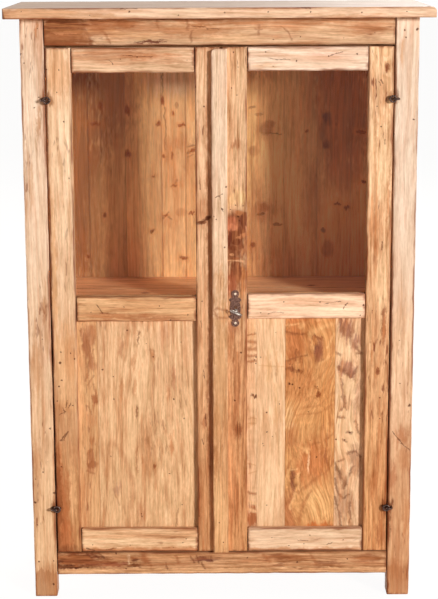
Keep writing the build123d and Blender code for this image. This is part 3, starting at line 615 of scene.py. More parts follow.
def makeTopBoard():
    low, high = boxOf("top_board")
    board = sweptBoard(low, high, 0, **topBoard, seed=3, pith=(40, 70))
    points = board["points"] / mm
    radius = topEnd["worn"]
    into = np.clip(points[:, 0] - (high[0] - radius), 0, radius)
    drop = radius - np.sqrt(np.clip(radius ** 2 - into ** 2, 0, None))
    share = (points[:, 2] - low[2]) / (high[2] - low[2])
    points[:, 2] = points[:, 2] - np.clip(drop, 0, radius * 0.8) * share ** 2
    board["points"] = points * mm
    board["rim"] *= np.where(points[:, 0] > high[0] - topEnd["pale"], 0.3, 1.0)
    # the top face is darkened: painted shade for the light grazing across it
    board["shade"][(points[:, 1] > low[1] + 3) & (share > 0.9)] = topEnd["paintedTopShade"]
    front = [(-438, 1388), (-286, 1379), (-199, 1386), (-91, 1378), (11, 1382), (107, 1384), (201, 1384),
             (314, 1382), (413, 1383)]
    look = pineMaterial(
        "pineTop", tone=(227, 186, 154), along="x", frontOnly=low[1], rings=0.35, ring=6.5, streaks=0.4,
        stain=0.1, flecks=0.35, swirl=18, holes=[(a, b, 1.7) for a, b in front],
        smudges=[(-400, 1382, 110, 16, (214, 160, 116), 0.75), (-250, 1374, 60, 5, (216, 164, 122), 0.6),
            (-470, 1382, 16, 14, (186, 128, 88), 0.7), (60, 1391, 70, 4, (222, 176, 138), 0.6),
            (300, 1373, 90, 4, (222, 172, 132), 0.6)],
        cracks=[(-480, 1392, -477, 1370, 1.6), (171, 1393.5, 202, 1392, 1.2), (-219, 1391.5,
            -182, 1393, 0.8)])
    makePiece("topBoard", [board], look, "case", "pine_top", "top_board")


makeTopBoard()
print("top board")

posts = {
    "front": {"ease": (3.0, 1.5), "drift": (1.1, 0.4), "ends": 2.2, "chips": 9},
    "back": {"ease": (1.5, 2.5), "drift": (0.8, 0.3), "ends": 2.0, "chips": 5},
}
postPith, postTilt, boardGap = (16, 46), 0.01, 0.3


def backPostParts(low, high, sign, seed):
    # the post in front of the back boards, the strip beside them, and the infill under them at the foot
    boardLow, boardHigh = boxOf("back_boards")
    seam, edge = boardLow[1], boardHigh[0] + boardGap
    shape = posts["back"]
    straight = {"drift": (shape["drift"][0], 0.0), "seed": seed, "tilt": postTilt * sign}
    deep = (sign * postPith[0], postPith[1] + 16)
    front = sweptBoard(low, (high[0], seam, high[2]), 2, ease=(shape["ease"][0], 0.12), ends=shape["ends"],
                       chips=shape["chips"], pith=(sign * postPith[0], postPith[1]), **straight)
    x = (edge, high[0]) if sign > 0 else (low[0], -edge)
    rear = sweptBoard((x[0], seam, low[2]), (x[1], high[1], high[2]), 2, ease=(0.12, shape["ease"][1]),
                      ends=shape["ends"], chips=3, pith=deep, **straight)
    x = (low[0], edge) if sign > 0 else (-edge, high[0])
    foot = sweptBoard((x[0], seam, low[2]), (x[1], high[1] - boardGap, boardLow[2]), 2, ease=(0.12, 1.0),
                      drift=(0.0, 0.0), ends=0.6, chips=0, seed=seed, pith=deep)
    return [front, rear, foot]


def makePosts():
    face = boxOf("post_front_left")[0][1]
    looks = {}
    looks["left"] = pineMaterial(
        "pinePostLeft", fineGrain=0.8, frontOnly=face, tone=(232, 199, 171), footTone=(222, 176, 134),
        rings=0.35, streaks=0.55, stain=0.22, flecks=0.75,
        bands=[(-5, 64, (176, 122, 84), 0.75)],
        holes=[(-446, 1291, 2.2), (-439, 1271, 1.6), (-418, 1172, 1.8), (-408, 1195, 1.5),
            (-406, 1348, 1.4), (-402, 419, 2.6), (-422, 312, 2.2), (-442, 237, 3.0), (-437, 88, 2.4),
            (-402, 90, 1.6), (-438, 181, 2.2), (-396, 260, 3.0), (-404, 31, 3.2)],
        smudges=[(-409, 1350, 3.5, 18, (186, 128, 84), 0.8), (-412, 1135, 5, 42, (196, 140, 96), 0.6),
            (-410, 705, 6, 30, (190, 138, 98), 0.7), (-430, 1000, 5, 60, (222, 176, 138), 0.5),
            (-397, 1190, 8, 14, (122, 70, 42), 0.8), (-397, 222, 9, 16, (104, 56, 34), 0.85),
            (-430, 560, 10, 70, (206, 152, 108), 0.6), (-436, 330, 10, 50, (196, 140, 98), 0.6),
            (-420, 60, 30, 26, (196, 142, 100), 0.6)])
    looks["right"] = pineMaterial(
        "pinePostRight", fineGrain=0.75, frontOnly=face, tone=(226, 196, 171), footTone=(210, 158, 116),
        rings=0.35, streaks=0.42, stain=0.16, flecks=0.6,
        bands=[(-5, 70, (176, 116, 76), 0.5)],
        holes=[(414, 1341, 2.2), (442, 1342, 3.0), (416, 1325, 1.8), (438, 1141, 2.2), (414, 628, 1.5),
            (417, 524, 1.6), (441, 471, 3.2), (394, 1108, 1.6)],
        smudges=[(424, 395, 20, 26, (180, 112, 72), 0.75), (430, 340, 16, 30, (196, 132, 88), 0.6),
            (404, 300, 10, 36, (170, 100, 62), 0.7), (438, 200, 9, 60, (190, 126, 82), 0.6),
            (410, 1300, 4, 30, (220, 170, 130), 0.6), (424, 570, 36, 130, (250, 212, 176), 0.95),
            (397, 1190, 8, 14, (130, 76, 48), 0.75), (397, 222, 9, 20, (96, 50, 32), 0.9),
            (397, 180, 5, 40, (120, 66, 42), 0.8), (424, 60, 30, 30, (186, 126, 84), 0.6)],
        cracks=[(402, 408, 430, 372, 1.4, 445, 362, 1.2)])
    looks["back"] = pineMaterial("pinePostBack", tone=(226, 178, 132), rings=0.45, streaks=0.5, stain=0.2)
    for side, sign in sides:
        for row, number in (("front", 11), ("back", 17)):
            node = f"post_{row}_{side}"
            low, high = boxOf(node)
            if row == "front":
                parts = [sweptBoard(low, high, 2, **posts[row], seed=number + sign,
                                    pith=(sign * postPith[0], postPith[1]), tilt=postTilt * sign)]
            else:
                parts = backPostParts(low, high, sign, number + sign)
            look = looks["back" if row == "back" else side]
            makePiece(f"post{row.title()}{side.title()}", parts, look, "case", "pine_case", node)


makePosts()

caseRails = {"drift": (0.9, 0.3), "ends": 1.8, "chips": 8}
railShape = {"ease": 2.4, "gap": 1.4, "coreDepth": 9.0, "coreReach": 6.0}
noDrift = {"drift": (0.2, 0.1), "ends": 0.3, "chips": 0}


def railParts(low, high, seed, pith, tilt):
    # a front board that stops just short of the posts, and a core behind it that runs into them
    gap, deep, reach = railShape["gap"], railShape["coreDepth"], railShape["coreReach"]
    front = sweptBoard((low[0] + gap, low[1], low[2]), (high[0] - gap, high[1] - deep, high[2]), 0,
                       ease=(railShape["ease"], 0.2), **caseRails, seed=seed, pith=pith, tilt=tilt)
    core = sweptBoard((low[0] - reach, high[1] - deep, low[2] + 1.2), (high[0] + reach, high[1], high[2]), 0,
                      ease=(0.2, 1.2), **noDrift, seed=seed, pith=(pith[0], pith[1] + 12), tilt=tilt)
    return [front, core]


def makeCaseRails():
    postInner = boxOf("post_front_right")[0][0]
    topLook = pineMaterial(
        "pineRailTop", fineGrain=1.3, along="x", tone=(202, 160, 124), rings=0.5, ring=7.0, streaks=0.62,
        stain=0.25, swirl=22, flecks=0.6,
        holes=[(180, 1327, 1.5), (277, 1324, 1.5), (347, 1336, 1.5), (120, 1322, 1.2)],
        # the long thin smudges at Z 1360 to 1362 along the top edge are painted shadow under the top board's
        # overhang
        smudges=[(-364, 1298, 78, 92, (128, 72, 42), 1.0), (-286, 1360, 40, 14, (168, 106, 70), 0.7),
            (-350, 1357, 50, 9, (104, 54, 32), 0.9), (-318, 1350, 20, 16, (126, 68, 40), 0.8),
            (-350, 1335, 46, 5, (136, 76, 46), 0.8), (-345, 1316, 50, 8, (150, 86, 50), 0.8),
            (-240, 1362, 60, 8, (182, 120, 80), 0.85), (-155, 1317, 36, 4, (112, 56, 42), 0.9),
            (-170, 1332, 50, 9, (236, 192, 148), 0.7), (-230, 1334, 30, 10, (228, 178, 132), 0.6),
            (-50, 1351, 26, 3, (112, 62, 42), 0.85), (-50, 1362, 60, 6, (184, 122, 82), 0.7),
            (150, 1352, 60, 12, (190, 132, 92), 0.6), (330, 1345, 50, 14, (190, 126, 86), 0.55),
            (20, 1325, 70, 10, (232, 184, 140), 0.5), (60, 1360, 60, 6, (188, 128, 88), 0.6),
            (250, 1362, 80, 7, (184, 124, 84), 0.6), (-55, 1342, 80, 16, (180, 122, 80), 0.7)],
        blots=[(-360, 1354, 34, 18, (126, 72, 42), 0.85), (-356, 1322, 38, 12, (140, 80, 48), 0.8),
            (-318, 1340, 14, 22, (134, 78, 46), 0.7), (-304, 1322, 8, 12, (132, 76, 46), 0.7),
            (-346, 1338, 30, 3, (196, 132, 92), 0.7), (-330, 1366, 30, 6, (112, 62, 36), 0.7),
            (-268, 1352, 16, 12, (160, 98, 62), 0.6), (-214, 1356, 30, 8, (174, 114, 74), 0.6)],
        veins=[((214, 158, 110), 0.9, [(-374, 1343, -330, 1345, 2.6, -300, 1341, 2.4), (-290, 1343,
            -240, 1344, 2.2), (-386, 1327, -340, 1326, 2.4, -296, 1328, 2.2)]),
            ((116, 62, 38), 0.75, [(-328, 1367, -308, 1352, 3.0, -294, 1334, 2.6, -285, 1311, 2.4)]),
            ((132, 76, 48), 0.7, [(-286, 1364, -268, 1348, 1.4, -256, 1336, 1.5, -245, 1314, 1.7),
            (-140, 1368, -138, 1350, 1.5), (-72, 1366, -70, 1342, 1.6), (-62, 1340, -63, 1318, 1.2),
            (87, 1353, 87, 1330, 1.4), (80, 1345, 95, 1344, 1.0), (139, 1350, 152, 1336, 1.0,
            160, 1322, 1.0)])],
        cracks=[(-191, 1317, -160, 1319, 1.0), (-150, 1316, -119, 1317, 1.0), (-63, 1352, -30, 1350, 1.0),
            (-28, 1346, -1, 1345, 0.9)])
    bottomLook = pineMaterial(
        "pineRailBottom", fineGrain=1.8, along="x", tone=(188, 136, 96), rings=0.5, streaks=0.6, stain=0.3,
        swirl=20, flecks=0.7,
        bands=[(54, 69, (230, 180, 134), 0.85)],
        holes=[(-252, 108, 2.0), (-229, 69, 2.0), (60, 96, 1.8), (180, 84, 2.2), (300, 92, 2.0)],
        smudges=[(-340, 90, 64, 20, (132, 72, 42), 1.0), (-350, 75, 50, 5, (80, 36, 20), 1.0),
            (-265, 83, 46, 6, (150, 80, 60), 0.85), (-388, 84, 8, 30, (104, 52, 30), 0.9),
            (-206, 93, 13, 8, (108, 58, 36), 0.95), (-203, 75, 18, 5, (80, 36, 22), 0.95),
            (-180, 96, 12, 14, (164, 100, 62), 0.8), (-42, 93, 32, 6, (100, 50, 42), 0.9),
            (-253, 62, 5, 5, (150, 76, 50), 0.85), (-235, 66, 5, 3, (150, 80, 54), 0.8),
            (-120, 100, 60, 10, (216, 160, 112), 0.6), (20, 60, 40, 5, (140, 80, 58), 0.6),
            (150, 96, 50, 8, (162, 100, 66), 0.7), (250, 78, 40, 8, (140, 82, 54), 0.7),
            (350, 92, 34, 14, (150, 88, 54), 0.7), (90, 84, 30, 10, (214, 158, 112), 0.5)],
        veins=[((92, 46, 28), 0.8, [(-322, 109, -312, 98, 1.4), (-308, 108, -298, 98, 1.4), (-294, 108,
            -284, 98, 1.3), (-136, 82, -131, 71, 1.3), (-47, 84, -41, 70, 1.3), (-60, 100, -54, 84, 1.3),
            (-74, 99, -66, 86, 1.1), (-26, 100, -20, 86, 1.1)]), ((156, 92, 56), 0.75, [(-194, 109,
            -182, 94, 2.4, -170, 78, 2.0), (-112, 100, -104, 84, 1.6), (100, 104, 112, 84, 2.0), (210, 100,
            226, 82, 1.8)]), ((246, 214, 176), 0.9, [(-223, 102, -222, 80, 1.0)])])
    hiddenLook = pineMaterial("pineRailBack", along="x", tone=(222, 172, 126), rings=0.5, streaks=0.5)
    sideLook = pineMaterial(
        "pineRailSide", along="y", tone=(230, 182, 138), rings=0.5, streaks=0.55, face="side", flecks=0.7)
    for level, look, seed, pith in (("top", topLook, 21, (12, 30)), ("bottom", bottomLook, 22, (-14, 26))):
        node = f"rail_front_{level}"
        low, high = boxOf(node)
        low[0], high[0] = -postInner, postInner
        parts = railParts(low, high, seed, pith, 0.02)
        makePiece(f"railFront{level.title()}", parts, look, "case", "pine_case", node)
        node = f"rail_back_{level}"
        low, high = boxOf(node)
        low[0], high[0] = -postInner - 5, postInner + 5
        board = sweptBoard(low, high, 0, ease=1.2, chips=3, seed=seed + 4, pith=(8, 40))
        makePiece(f"railBack{level.title()}", [board], hiddenLook, "case", "pine_case", node)
        for number, (side, _) in enumerate(sides, 7):
            node = f"rail_{side}_{level}"
            low, high = boxOf(node)
            low[1], high[1] = boxOf("post_front_left")[1][1] + 0.8, boxOf("post_back_left")[0][1] - 0.8
            board = sweptBoard(low, high, 1, drift=(0.8, 0.3), ends=1.5, seed=seed + number, pith=(10, 42))
            core = sweptBoard((low[0] + 6, low[1] - 5, low[2]), (high[0] - 6, high[1] + 5, high[2]), 1,
                              ease=0.2, chips=0, seed=seed + 9)
            name = f"rail{side.title()}{level.title()}"
            makePiece(name, [board, core], sideLook, "case", "pine_case", node)


makeCaseRails()

sideBoards = {"joint": 0.5, "shades": (0.2, -0.5, 0.35), "ease": 1.2}
backBoards = {
    "joints": (-323, -232, -143, -84, 0, 79, 158, 240, 323), "joint": 0.3, "ease": 0.5,
    # shades for the back boards are painted light and shade: the left boards darker and the right ones
    # lighter, as the light falls through the glass
    "shades": (-1.8, -1.5, -0.4, -0.2, -0.3, 0.1, 0.3, 0.3, 0.7, 0.8),
}
floorBoards = {"joint": 0.6, "shades": (0.1, -0.2, 0.2), "ease": 1.0}
shelfBoards = {"joint": 0.6, "shades": (0.0, -0.15), "ease": 1.5}


def boardRow(node, axis, along, row, seed):
    # boards side by side, each from another place in the log, and a thin dark core behind their joints
    low, high = boxOf(node)
    cuts = np.linspace(low[axis], high[axis], len(row["shades"]) + 1)
    if "joints" in row:
        cuts = [low[axis], *row["joints"], high[axis]]
    parts = []
    for number, (start, stop) in enumerate(zip(cuts, cuts[1:])):
        lowest, highest = low.copy(), high.copy()
        lowest[axis], highest[axis] = start + row["joint"] / 2, stop - row["joint"] / 2
        rng = np.random.default_rng(seed + number)
        pith = (rng.uniform(-30, 30), 34.0 + rng.uniform(-10, 30))
        parts.append(sweptBoard(
            lowest, highest, along, ease=row["ease"], drift=(0.3, 0.2), ends=0.8, chips=2, seed=seed + number,
            pith=pith, tilt=rng.uniform(-0.015, 0.015), shade=row["shades"][number], stepAlong=20.0))
    thin = int(np.argmin(high - low))
    lowest, highest = low + 1.0, high - 1.0
    lowest[thin], highest[thin] = low[thin] + 3.5, high[thin] - 3.5
    parts.append(sweptBoard(lowest, highest, along, ease=0.2, drift=(0, 0), ends=0.2, chips=0, seed=seed + 40,
                            shade=-1.5))
    return parts


def makeBoards():
    sideLook = pineMaterial(
        "pineSideBoards", tone=(232, 184, 138), footTone=(216, 164, 116), rings=0.6, ring=6.0, streaks=0.55,
        stain=0.2, face="side", flecks=0.6,
        knots=[(-60, 980, 8, 12), (35, 700, 10, 14), (110, 1130, 7, 9), (-40, 420, 9, 13),
            (90, 300, 8, 10)])
    for number, (side, _) in enumerate(sides):
        node = f"side_boards_{side}"
        parts = boardRow(node, 1, 2, sideBoards, 31 + 4 * number)
        makePiece(f"sideBoards{side.title()}", parts, sideLook, "case", "pine_panel", node)
    low, _ = boxOf("back_boards")
    backLook = pineMaterial(
        "pineBackBoards", fineGrain=0.9, frontOnly=low[1], shine=0.05, edge=0.35, tone=(250, 184, 122),
        rings=0.32, ring=6.0, streaks=0.45, stain=0.16, flecks=0.2, pinholes=0.3,
        knots=[(-226, 1132, 7, 11), (-226, 1025, 7, 9), (-70, 877, 8, 4), (-328, 769, 4, 5),
            (292, 898, 9, 3), (314, 888, 7, 5), (357, 951, 9, 3.5), (-291, 1141, 5, 9),
            (-308, 1098, 13, 5.5), (-164, 970, 5, 3), (-139, 1155, 5, 10), (-150, 1097, 6, 7),
            (-93, 1095, 9, 3.5), (-114, 1124, 3, 6), (-138, 1019, 4, 5), (-117, 1019, 2.5, 11),
            (-92, 763, 11, 5), (-168, 831, 5, 5), (286, 1092, 4, 4), (348, 1077, 12, 4), (80, 795, 8, 6),
            (214, 1078, 4, 4), (-112, 945, 8, 3), (-135, 872, 6, 3), (-286, 872, 4, 7), (-66, 1030, 8, 4)],
        blots=[(264, 1110, 11, 16, (122, 66, 38), 0.75), (262, 1048, 9, 12, (130, 70, 40), 0.7),
            (262, 1112, 6, 10, (84, 44, 26), 0.8), (270, 1098, 4, 8, (132, 78, 46), 0.7),
            (262, 1046, 5, 8, (90, 48, 28), 0.8), (272, 1057, 4, 5, (190, 120, 72), 0.5),
            (252, 1078, 7, 22, (150, 90, 52), 0.6), (80, 1138, 9, 4, (172, 108, 66), 0.7),
            (96, 1120, 10, 4, (176, 110, 66), 0.6), (122, 1098, 16, 8, (176, 108, 62), 0.6),
            (113, 1082, 12, 13, (164, 100, 58), 0.55), (84, 1030, 12, 12, (196, 120, 72), 0.5),
            (110, 889, 13, 11, (184, 106, 58), 0.7), (103, 873, 8, 3, (134, 76, 42), 0.85),
            (142, 847, 12, 3, (166, 98, 54), 0.7), (258, 832, 5, 8, (130, 70, 38), 0.7),
            (267, 786, 15, 22, (170, 94, 50), 0.5), (-106, 1142, 4, 7, (170, 110, 70), 0.6),
            (-96, 880, 14, 10, (196, 126, 78), 0.5)],
        # broad smudges here are painted light and shade: dark ones at the left, top and upper right are
        # painted shadow of stiles and top rails, pale ones in the middle and lower right are painted light,
        # the pale one under the top rail a painted reflection of the glass; small ones are the wood's own
        # tone
        smudges=[(-352, 980, 70, 420, (166, 104, 62), 0.95), (-262, 1190, 66, 150, (164, 98, 56), 0.7),
            (-262, 830, 60, 170, (255, 200, 136), 0.5), (290, 1140, 130, 190, (166, 98, 50), 0.9),
            (-110, 1000, 76, 330, (224, 170, 122), 0.8), (120, 1240, 110, 30, (200, 134, 86), 0.6),
            (250, 790, 150, 110, (255, 206, 140), 0.8), (310, 800, 80, 170, (255, 200, 128), 0.9),
            (-110, 1205, 74, 40, (255, 216, 174), 0.7), (240, 1216, 140, 34, (146, 82, 44), 0.55),
            (100, 1150, 14, 120, (214, 150, 100), 0.4), (-300, 1085, 30, 26, (196, 132, 86), 0.5),
            (-100, 1050, 30, 20, (202, 134, 84), 0.6), (-70, 1000, 18, 30, (206, 138, 88), 0.5),
            (-130, 860, 30, 20, (208, 140, 90), 0.5), (110, 1080, 34, 20, (196, 130, 84), 0.5),
            (92, 830, 34, 160, (212, 148, 98), 0.8), (185, 1010, 60, 300, (255, 208, 144), 0.6),
            (110, 880, 44, 26, (196, 124, 74), 0.55), (300, 980, 40, 60, (196, 112, 66), 0.5),
            (230, 900, 26, 90, (196, 126, 78), 0.5)],
        veins=[((128, 74, 44), 0.8, [(-138, 1225, -140, 1150, 0.8), (-133, 1140, -134, 1034, 0.8),
            (-290, 1130, -293, 1000, 0.6), (113, 1075, 150, 1073, 0.8), (-60, 1040, -78, 1028, 1.5),
            (-58, 1047, -80, 1041, 1.2), (-66, 1024, -80, 1016, 1.0), (-105, 960, -118, 944, 1.3),
            (-128, 880, -142, 866, 1.2), (-130, 868, -120, 862, 1.0)])])
    floorLook = pineMaterial(
        "pineFloor", along="x", shine=0.08, tone=(214, 156, 104), rings=0.5, streaks=0.4, face="level")
    shelfLook = pineMaterial(
        "pineShelf", along="x", shine=0.12, tone=(238, 180, 130), rings=0.45, streaks=0.5, face="level",
        # the pale smudge over the shelf's right half is painted light
        smudges=[(230, 0, 190, 200, (255, 206, 158), 0.8)],
        knots=[(-180, -20, 9, 7), (220, 60, 8, 6)])
    for name, axis, along, row, seed, look in (("back", 0, 2, backBoards, 51, backLook),
                                               ("floor", 1, 0, floorBoards, 71, floorLook),
                                               ("shelf", 1, 0, shelfBoards, 77, shelfLook)):
        node = f"{name}_boards"
        makePiece(f"{name}Boards", boardRow(node, axis, along, row, seed), look, "case", "pine_inside", node)


makeBoards()
roughLook = pineMaterial(
    "pineRough", along="x", shine=0.1, tone=(208, 156, 110), grain="x", rings=0.4, streaks=0.5)
dress(roughLook, "floor_cleats", "shelf_cleats", "door_stop", "top_blocks")
print("case")

doorShape = {
    "lip": 14.0, "rebate": 9.0, "gap": 1.3, "bead": 8.7, "lap": 5.2, "behind": 12, "stileTilt": 0.008,
    "railTilt": 0.02,
}
doorFront = {"ease": (2.6, 0.15), "drift": (1.0, 0.3), "chips": 7}
doorBack = {"ease": (0.15, 1.2), "drift": (0.25, 0.15)}
panelBoard = {"ease": 0.35, "drift": (0.1, 0.1), "ends": 0.5, "chips": 0}
plainBlock = {"ease": 0.4, "drift": (0, 0), "ends": 0.4, "chips": 0}


def doorStile(node, openingSide, seed, pith):
    # front board the full width, back board narrower where the rebate holds glass and panel
    low, high = boxOf(node)
    seam = low[1] + doorShape["lip"]
    both = {"seed": seed, "tilt": doorShape["stileTilt"]}
    front = sweptBoard(low, (high[0], seam, high[2]), 2, **doorFront, **both, ends=1.4, pith=pith)
    low[1] = seam
    if openingSide > 0:
        high[0] -= doorShape["rebate"]
    else:
        low[0] += doorShape["rebate"]
    deeper = (pith[0], pith[1] + doorShape["behind"])
    back = sweptBoard(low, high, 2, **doorBack, **both, ends=0.8, chips=2, pith=deeper)
    return [front, back]


def doorRail(node, opening, level, seed, pith):
    # front board just short of the stiles, back board running on into the rebate
    low, high = boxOf(node)
    seam, rebate, gap = low[1] + doorShape["lip"], doorShape["rebate"], doorShape["gap"]
    left, right = opening
    both = {"seed": seed, "tilt": doorShape["railTilt"]}
    front = sweptBoard((left + gap, low[1], low[2]), (right - gap, seam, high[2]), 0, **doorFront, **both,
                       ends=2.2, pith=pith)
    lowCut, highCut = 0 if level == "bottom" else rebate, 0 if level == "top" else rebate
    back = sweptBoard((left - rebate, seam, low[2] + lowCut), (right + rebate, high[1], high[2] - highCut), 0,
                      **doorBack, **both, ends=0.4, chips=1, pith=(pith[0], pith[1] + doorShape["behind"]))
    return [front, back]


def beadParts(node):
    # the glass beads: two level ones the full width, two upright ones between them
    low, high = boxOf(node)
    thick = doorShape["bead"]
    spans = [((low[0], low[1], z), (high[0], high[1], z + thick), 0) for z in (low[2], high[2] - thick)]
    spans += [((x, low[1], low[2] + thick), (x + thick, high[1], high[2] - thick), 2)
              for x in (low[0], high[0] - thick)]
    return [sweptBoard(*span, ease=(0.2, 1.6), **noDrift, seed=seed) for seed, span in enumerate(spans, 90)]


def makeDoor(side, seed, stiles, rails, boards):
    # stiles, rails and panel boards are rows that begin (member, look, pith), and each has the next seed
    body = f"{side}_door"
    boxes = [boxOf(f"{side}_stile_{place}") for place in ("outer", "inner")]
    first, second = sorted(boxes, key=lambda box: box[0][0])
    opening = (first[1][0], second[0][0])
    for number, (place, look, pith) in enumerate(stiles, seed):
        node = f"{side}_stile_{place}"
        openingSide = opening[0] - boxOf(node)[0][0]
        parts = doorStile(node, openingSide, number, pith)
        makePiece(f"{side}Stile{place.title()}", parts, look, body, "pine_door", node)
    for number, (level, look, pith) in enumerate(rails, seed + 2):
        node = f"{side}_rail_{level}"
        parts = doorRail(node, opening, level, number, pith)
        makePiece(f"{side}Rail{level.title()}", parts, look, body, "pine_door", node)
    for number, (place, look, pith, tilt) in enumerate(boards, seed + 10):
        node = f"{side}_panel_{place}"
        low, high = boxOf(node)
        if place != boards[-1][0]:
            high[0] -= doorShape["lap"]
        board = sweptBoard(low, high, 2, **panelBoard, seed=number, pith=pith, tilt=tilt)
        makePiece(f"{side}Panel{place.title()}", [board], look, body, "pine_panel", node)


